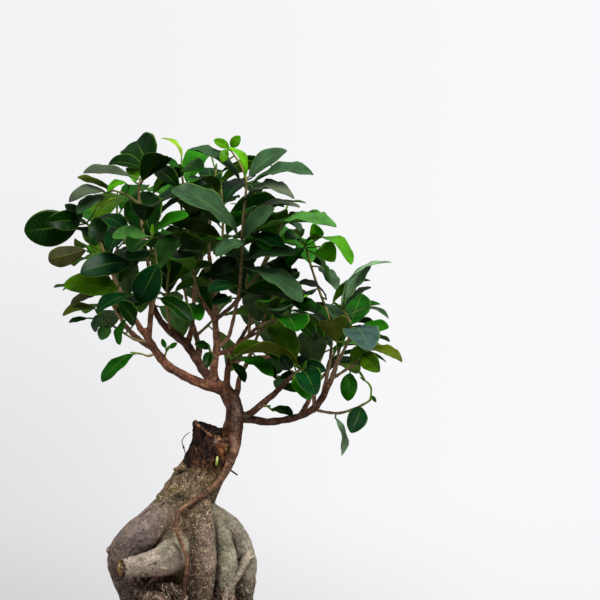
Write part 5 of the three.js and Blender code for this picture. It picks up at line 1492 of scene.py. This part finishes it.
def crawl(places, normals, tree, spot, seed, radius):
    """Points of a fine root that wanders over the bark from a spot."""
    stride = between(MAT_LENGTH, seed + 0.3) / 6
    heading = 2 * math.pi * noise(seed + 0.4)
    centre = []
    for step in range(7):
        found = tree.find(spot)[1]
        normal = normals[found]
        centre.append(spot + normal * ((places[found] - spot) @ normal + radius * 0.5))
        aside = unit(np.cross(UP, normal) + 1e-6)
        heading += 1.5 * (noise(3 * seed + step) - 0.5)
        spot = spot + (aside * math.cos(heading) + np.cross(normal, aside) * math.sin(heading)) * stride
    return centre


def add_mats(piece, bark):
    """Fine roots that follow the front of the bark, each with a crumb somewhere near."""
    places, normals = mesh_places(bark.data)
    tree = finder(places)
    for mat, (across, up, count, tints) in enumerate(MATS):
        inside = (places[:, 0] > across[0]) & (places[:, 0] < across[1])
        inside &= (places[:, 2] > up[0]) & (places[:, 2] < up[1]) & (normals[:, 1] < -0.25)
        starts = np.flatnonzero(inside)
        for number in range(count):
            seed = 100 * mat + number
            start, end = (starts[int(noise(seed + share) * len(starts))] for share in (0.1, 0.6))
            tint, crumb_tint = (tints[int(noise(seed + share) * len(tints))] for share in (0.5, 0.8))
            radius = between(MAT_RADIUS, seed + 0.2)
            piece.add(fibre(crawl(places, normals, tree, places[start], seed, radius), radius), tint)
            crumb = places[end] + ROCK_CORNERS * [1, 0.8, 0.7] * between(CRUMB_SIZE, seed + 0.7)
            piece.add((crumb, ROCK_FACES, (0, 0, 0)), crumb_tint)


def make_rootlets(bark):
    """Everything fine that grows on the rootstock: mats of roots, single rootlets and a pale sprout."""
    piece = Piece()
    add_mats(piece, bark)
    for tint, points in ROOTLETS:
        piece.add(tube(limb_line(points, 6), 6), tint)
    sprout = tube(limb_line(SPROUT, 6), 10)
    piece.add(sprout, blend(*SPROUT_TINTS, step_up(sprout[0][:, 2], 238, 243)))
    made = piece.build("rootlets", [TWIG])
    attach(made, "root")
    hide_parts("rootstock")


POT_RATIO = POT["half_wide"] / POT["half_long"]
POT_SIDES = 144
POT_ROUNDING = 1.6
SOIL_SIDES = 150
CLAY_TINT = linear(60, 52, 47)


def cornered(angle):
    """Superellipse that turns a round section of radius 1 into a rounded rectangle."""
    cosine = abs(math.cos(angle)) ** POT["corner"]
    sine = abs(math.sin(angle)) ** POT["corner"]
    return (cosine + sine) ** (-1 / POT["corner"])


def lathe(profile, sides):
    """Rounded-rectangular shell of a profile of (half length, height) that starts and ends on the axis."""
    angles = [2 * math.pi * side / sides for side in range(sides)]
    around = np.array([(cornered(a) * math.cos(a), cornered(a) * math.sin(a) * POT_RATIO, 0) for a in angles])
    rings = [around * half + UP * height for half, height in profile[1:-1]]
    places = np.vstack(rings + [(0, 0, profile[0][1]), (0, 0, profile[-1][1])])
    return places, closed(len(rings), sides), (0, 0, 0)


def hollow(height):
    """Half length of the pot's hollow at a height: a straight wall over a rounded bottom."""
    wall_line = POT["half_long"] - POT["wall"] - POT["lip_reach"]
    rise = min(1, (height - POT["floor"]) / (POT["height"] - POT["lip_height"] - POT["floor"]))
    return wall_line - POT["taper"] * (1 - math.sqrt(rise))


def rounded(corners, radius, steps=4):
    """A profile with each inner corner replaced by a small arc."""
    corners = [np.array(corner, float) for corner in corners]
    profile = [corners[0]]
    for before, corner, after in zip(corners, corners[1:], corners[2:]):
        inwards, onwards = before - corner, after - corner
        reach = min(radius, 0.45 * np.linalg.norm(inwards), 0.45 * np.linalg.norm(onwards))
        start = corner + unit(inwards) * reach
        end = corner + unit(onwards) * reach
        for step in range(steps + 1):
            share = step / steps
            profile.append(start * (1 - share) ** 2 + corner * 2 * share * (1 - share) + end * share**2)
    return profile + [corners[-1]]


def drains():
    """The two drainage holes, as solids to cut away."""
    piece = Piece()
    for side in (-1, 1):
        centre = np.array([[side * DRAIN["offset"], 0.0, height] for height in (-5.0, POT["floor"] + 5.0)])
        line = {"centre": centre, "along": np.tile(UP, (2, 1)), "radius": np.full(2, float(DRAIN["radius"]))}
        piece.add(tube(line, 32), (0, 0, 0))
    return piece.build("drains", [])


def make_pot():
    foot = POT["half_long"] - POT["foot_inset"]
    under = POT["height"] - POT["lip_height"]
    heights = [POT["floor"] + (under - POT["floor"]) * (step / 6) ** 1.5 for step in range(7)]
    profile = rounded([
        (0, 0),
        (foot, 0),
        (foot, POT["foot_height"]),
        (foot + POT["foot_step"], POT["foot_height"]),
        *[(hollow(height) + POT["wall"], height - POT["skin_under_floor"]) for height in heights[1:]],
        (POT["half_long"], under + POT["lip_slope"]),
        (POT["half_long"], POT["height"]),
        (hollow(under), POT["height"]),
        *[(hollow(height), height) for height in reversed(heights)],
        (0, POT["floor"]),
    ], POT_ROUNDING)
    piece = Piece()
    piece.add(lathe(profile, POT_SIDES), CLAY_TINT)
    made = piece.build("stoneware_pot", [STONEWARE])
    holes = drains()
    cut = made.modifiers.new("drains", "BOOLEAN")
    cut.operation = "DIFFERENCE"
    cut.solver = "EXACT"
    cut.object = holes
    mesh = applied(made)
    made.modifiers.clear()
    made.data = mesh
    bpy.data.objects.remove(holes)
    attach(made, "root")
    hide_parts("pot")


# Grains of the soil, the commonest tint first, and the fine roots on it
GRAIN_TONES = [(44, 32, 24), (62, 44, 32), (30, 22, 18), (96, 72, 54), (150, 128, 106)]
FIBRE_TONES = [(128, 98, 84), (84, 60, 48), (52, 38, 32), (176, 150, 132)]
GRAIN_TINTS, FIBRE_TINTS = ([linear(*tone) for tone in tones] for tones in (GRAIN_TONES, FIBRE_TONES))
GRAINS = 2600
# How far from the trunk the grains reach, as a share of the soil
GRAIN_SPREAD = 0.985
GRAIN = {"size": (0.9, 2.6), "rise": (0.1, 0.7), "width": (0.6, 1), "height": (0.5, 1)}
GRAINS_PER_PEBBLE = 17
PEBBLE_SCALE = 1.5
FIBRES = 620
FIBRE = {"length": (7, 22), "radius": (0.3, 0.8), "reach": 62}
# One fibre in this many is a root of some size
FIBRES_PER_ROOT = 12
ROOT_SCALE = 3.2


def soil_top(radius):
    return SOIL_EDGE + SOIL_RISE * np.exp(-((radius / SOIL_RISE_WIDTH) ** SOIL_RISE_POWER))


def add_grains(piece, rim, depth_in_roots):
    """Grains spread over the soil by the golden angle, except inside the roots."""
    for number in range(GRAINS):
        angle = number * GOLDEN_ANGLE
        share = math.sqrt((number + 0.5) / GRAINS)
        half = rim * share * cornered(angle) * GRAIN_SPREAD
        size = between(GRAIN["size"], number) * (PEBBLE_SCALE if number % GRAINS_PER_PEBBLE == 0 else 1)
        height = soil_top(rim * share) + size * between(GRAIN["rise"], number + 0.5)
        centre = np.array([half * math.cos(angle), half * math.sin(angle) * POT_RATIO, height])
        if depth_in_roots(centre) > 1:
            continue
        turn = 6 * noise(number + 0.25)
        form = [1, between(GRAIN["width"], number + 0.1), between(GRAIN["height"], number + 0.7)]
        x, y, z = (ROCK_CORNERS * form * size).T
        turned = [x * math.cos(turn) - y * math.sin(turn), x * math.sin(turn) + y * math.cos(turn), z]
        tint = GRAIN_TINTS[int(noise(number + 0.6) ** 2 * len(GRAIN_TINTS))]
        piece.add((centre + np.column_stack(turned), ROCK_FACES, (0, 0, 0)), tint)


def add_fibres(piece, depth_in_roots):
    """Fine roots that wander over the mound at the foot of the tree."""
    for number in range(FIBRES):
        thick = number % FIBRES_PER_ROOT == 0
        length = between(FIBRE["length"], number + 0.2) * (2 if thick else 1)
        radius = between(FIBRE["radius"], number + 0.4) * (ROOT_SCALE if thick else 1)
        angle = number * GOLDEN_ANGLE
        reach = FIBRE["reach"] * math.sqrt((number + 0.5) / FIBRES)
        x, y = reach * math.cos(angle), reach * math.sin(angle) * POT_RATIO
        heading = 2 * math.pi * noise(number + 0.8)
        centre = []
        for step in range(7):
            height = soil_top(math.hypot(x, y / POT_RATIO)) + radius + 1.6 * noise(number + step)
            centre.append((x, y, height))
            heading += 1.6 * (noise(3 * number + step) - 0.5)
            x += math.cos(heading) * length / 6
            y += math.sin(heading) * length / 6
        if depth_in_roots(np.array(centre[3])) > 3:
            continue
        kind = 0 if thick else int(noise(number + 0.6) * len(FIBRE_TINTS))
        piece.add(fibre(centre, radius), FIBRE_TINTS[kind])


def make_soil():
    rim = hollow(SOIL_EDGE) - 1.2
    profile = [(0, POT["floor"] + 0.6), (hollow(POT["floor"]) - 1, POT["floor"] + 0.6)]
    profile += [(hollow(height) - 1, height) for height in np.linspace(POT["floor"] + 2, SOIL_EDGE - 4, 8)]
    profile += [(rim * share, soil_top(rim * share)) for share in np.linspace(1, 0, 42)]
    places, faces, marks = lathe(profile, SOIL_SIDES)
    top = places[:, 2] > SOIL_EDGE - 3
    mound = step_up(places[top, 2], SOIL_EDGE + 4, SOIL_EDGE + 30)
    places[top, 2] += 1.2 * bumps(places[top], 4, 8) + (1.8 + 1.6 * mound) * bumps(places[top], 11, 9)
    mat = np.zeros(len(places))
    mat[top] = mound
    piece = Piece()
    piece.add((places, faces, marks), blend(GRAIN_TINTS[0], FIBRE_TINTS[1], mat))
    roots = [limb_line(points, 3) for points in ROOTS.values()]
    centres = np.concatenate([line["centre"] for line in roots])
    sizes = np.concatenate([line["radius"] for line in roots])

    def depth_in_roots(place):
        return np.max(sizes - np.linalg.norm(centres - place, axis=1))

    add_grains(piece, rim, depth_in_roots)
    add_fibres(piece, depth_in_roots)
    made = piece.build("potting_soil", [SOIL])
    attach(made, "root")
    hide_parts("soil")


def make_camera():
    data = bpy.data.cameras.new("camera")
    data.sensor_width = 36
    data.lens = 90
    camera = added(bpy.data.objects.new("camera", data))
    camera.location = (EYE["across"] * MM, -EYE["back"] * MM, EYE["up"] * MM)
    camera.rotation_euler = (math.pi / 2, 0, 0)
    bpy.context.scene.camera = camera


def area_light(name, place, size, power):
    """Soft round lamp that shines on the middle of the plant."""
    data = bpy.data.lights.new(name, "AREA")
    data.shape = "DISK"
    data.size = size
    data.energy = power
    light = added(bpy.data.objects.new(name, data))
    light.location = place
    light.rotation_euler = (Vector((0, 0, 0.25)) - Vector(place)).to_track_quat("-Z", "Y").to_euler()


# How bright the room is when a surface mirrors it
MIRRORED = 0.3


def make_sky():
    """Bright backdrop behind the plant and above, and a dim room before it. Its mirror image is dim too."""
    world = bpy.data.worlds.new("studio")
    bpy.context.scene.world = world
    world.use_nodes = True
    tree = world.node_tree
    x, y, z = source(tree, "TexCoord", "Generated").split()
    room = y.grade(-0.3, 0.6, 0.05, 0.6) + z.grade(-0.1, 0.9, 0.0, 0.3)
    room = room * source(tree, "LightPath", "Is Glossy Ray").grade(0.0, 1.0, 1.0, MIRRORED)
    left_shade = x.grade(0.05, -0.25) * z.grade(0.1, -0.2, 0.0, 0.165)
    low_shade = x.grade(0.16, 0.0, 0.3, 1.0) * z.grade(-0.12, -0.3, 0.0, 0.25)
    backdrop = x.grade(-0.2, 0.15, 0.895, 0.95) - left_shade - low_shade
    direct = source(tree, "LightPath", "Is Camera Ray")
    background = tree.nodes["Background"]
    join(background.inputs["Strength"], direct.feed("Mix", {0: direct, 2: room, 3: backdrop}))
    join(background.inputs["Color"], (0.992, 0.992, 1.01, 1))


def make_floor():
    mesh = bpy.data.meshes.new("floor")
    mesh.from_pydata([(-1, -1, 0), (1, -1, 0), (1, 1, 0), (-1, 1, 0)], [], [(0, 1, 2, 3)])
    mesh.materials.append(floor_material())
    added(bpy.data.objects.new("floor", mesh))


make_camera()
make_sky()
area_light("key", (0.8, -0.8, 1.5), size=0.8, power=27)
area_light("fill", (-0.9, -1.0, 1.1), size=1.2, power=8)
make_floor()
make_pot()
make_soil()
make_rootlets(make_rootstock())
make_scion()
for number, (name, shoot) in enumerate(SHOOTS.items()):
    made = make_shoot(name, shoot, number)
    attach(made, "root")
    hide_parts(f"spray_{name}")
bpy.context.scene.view_settings.view_transform = "Standard"
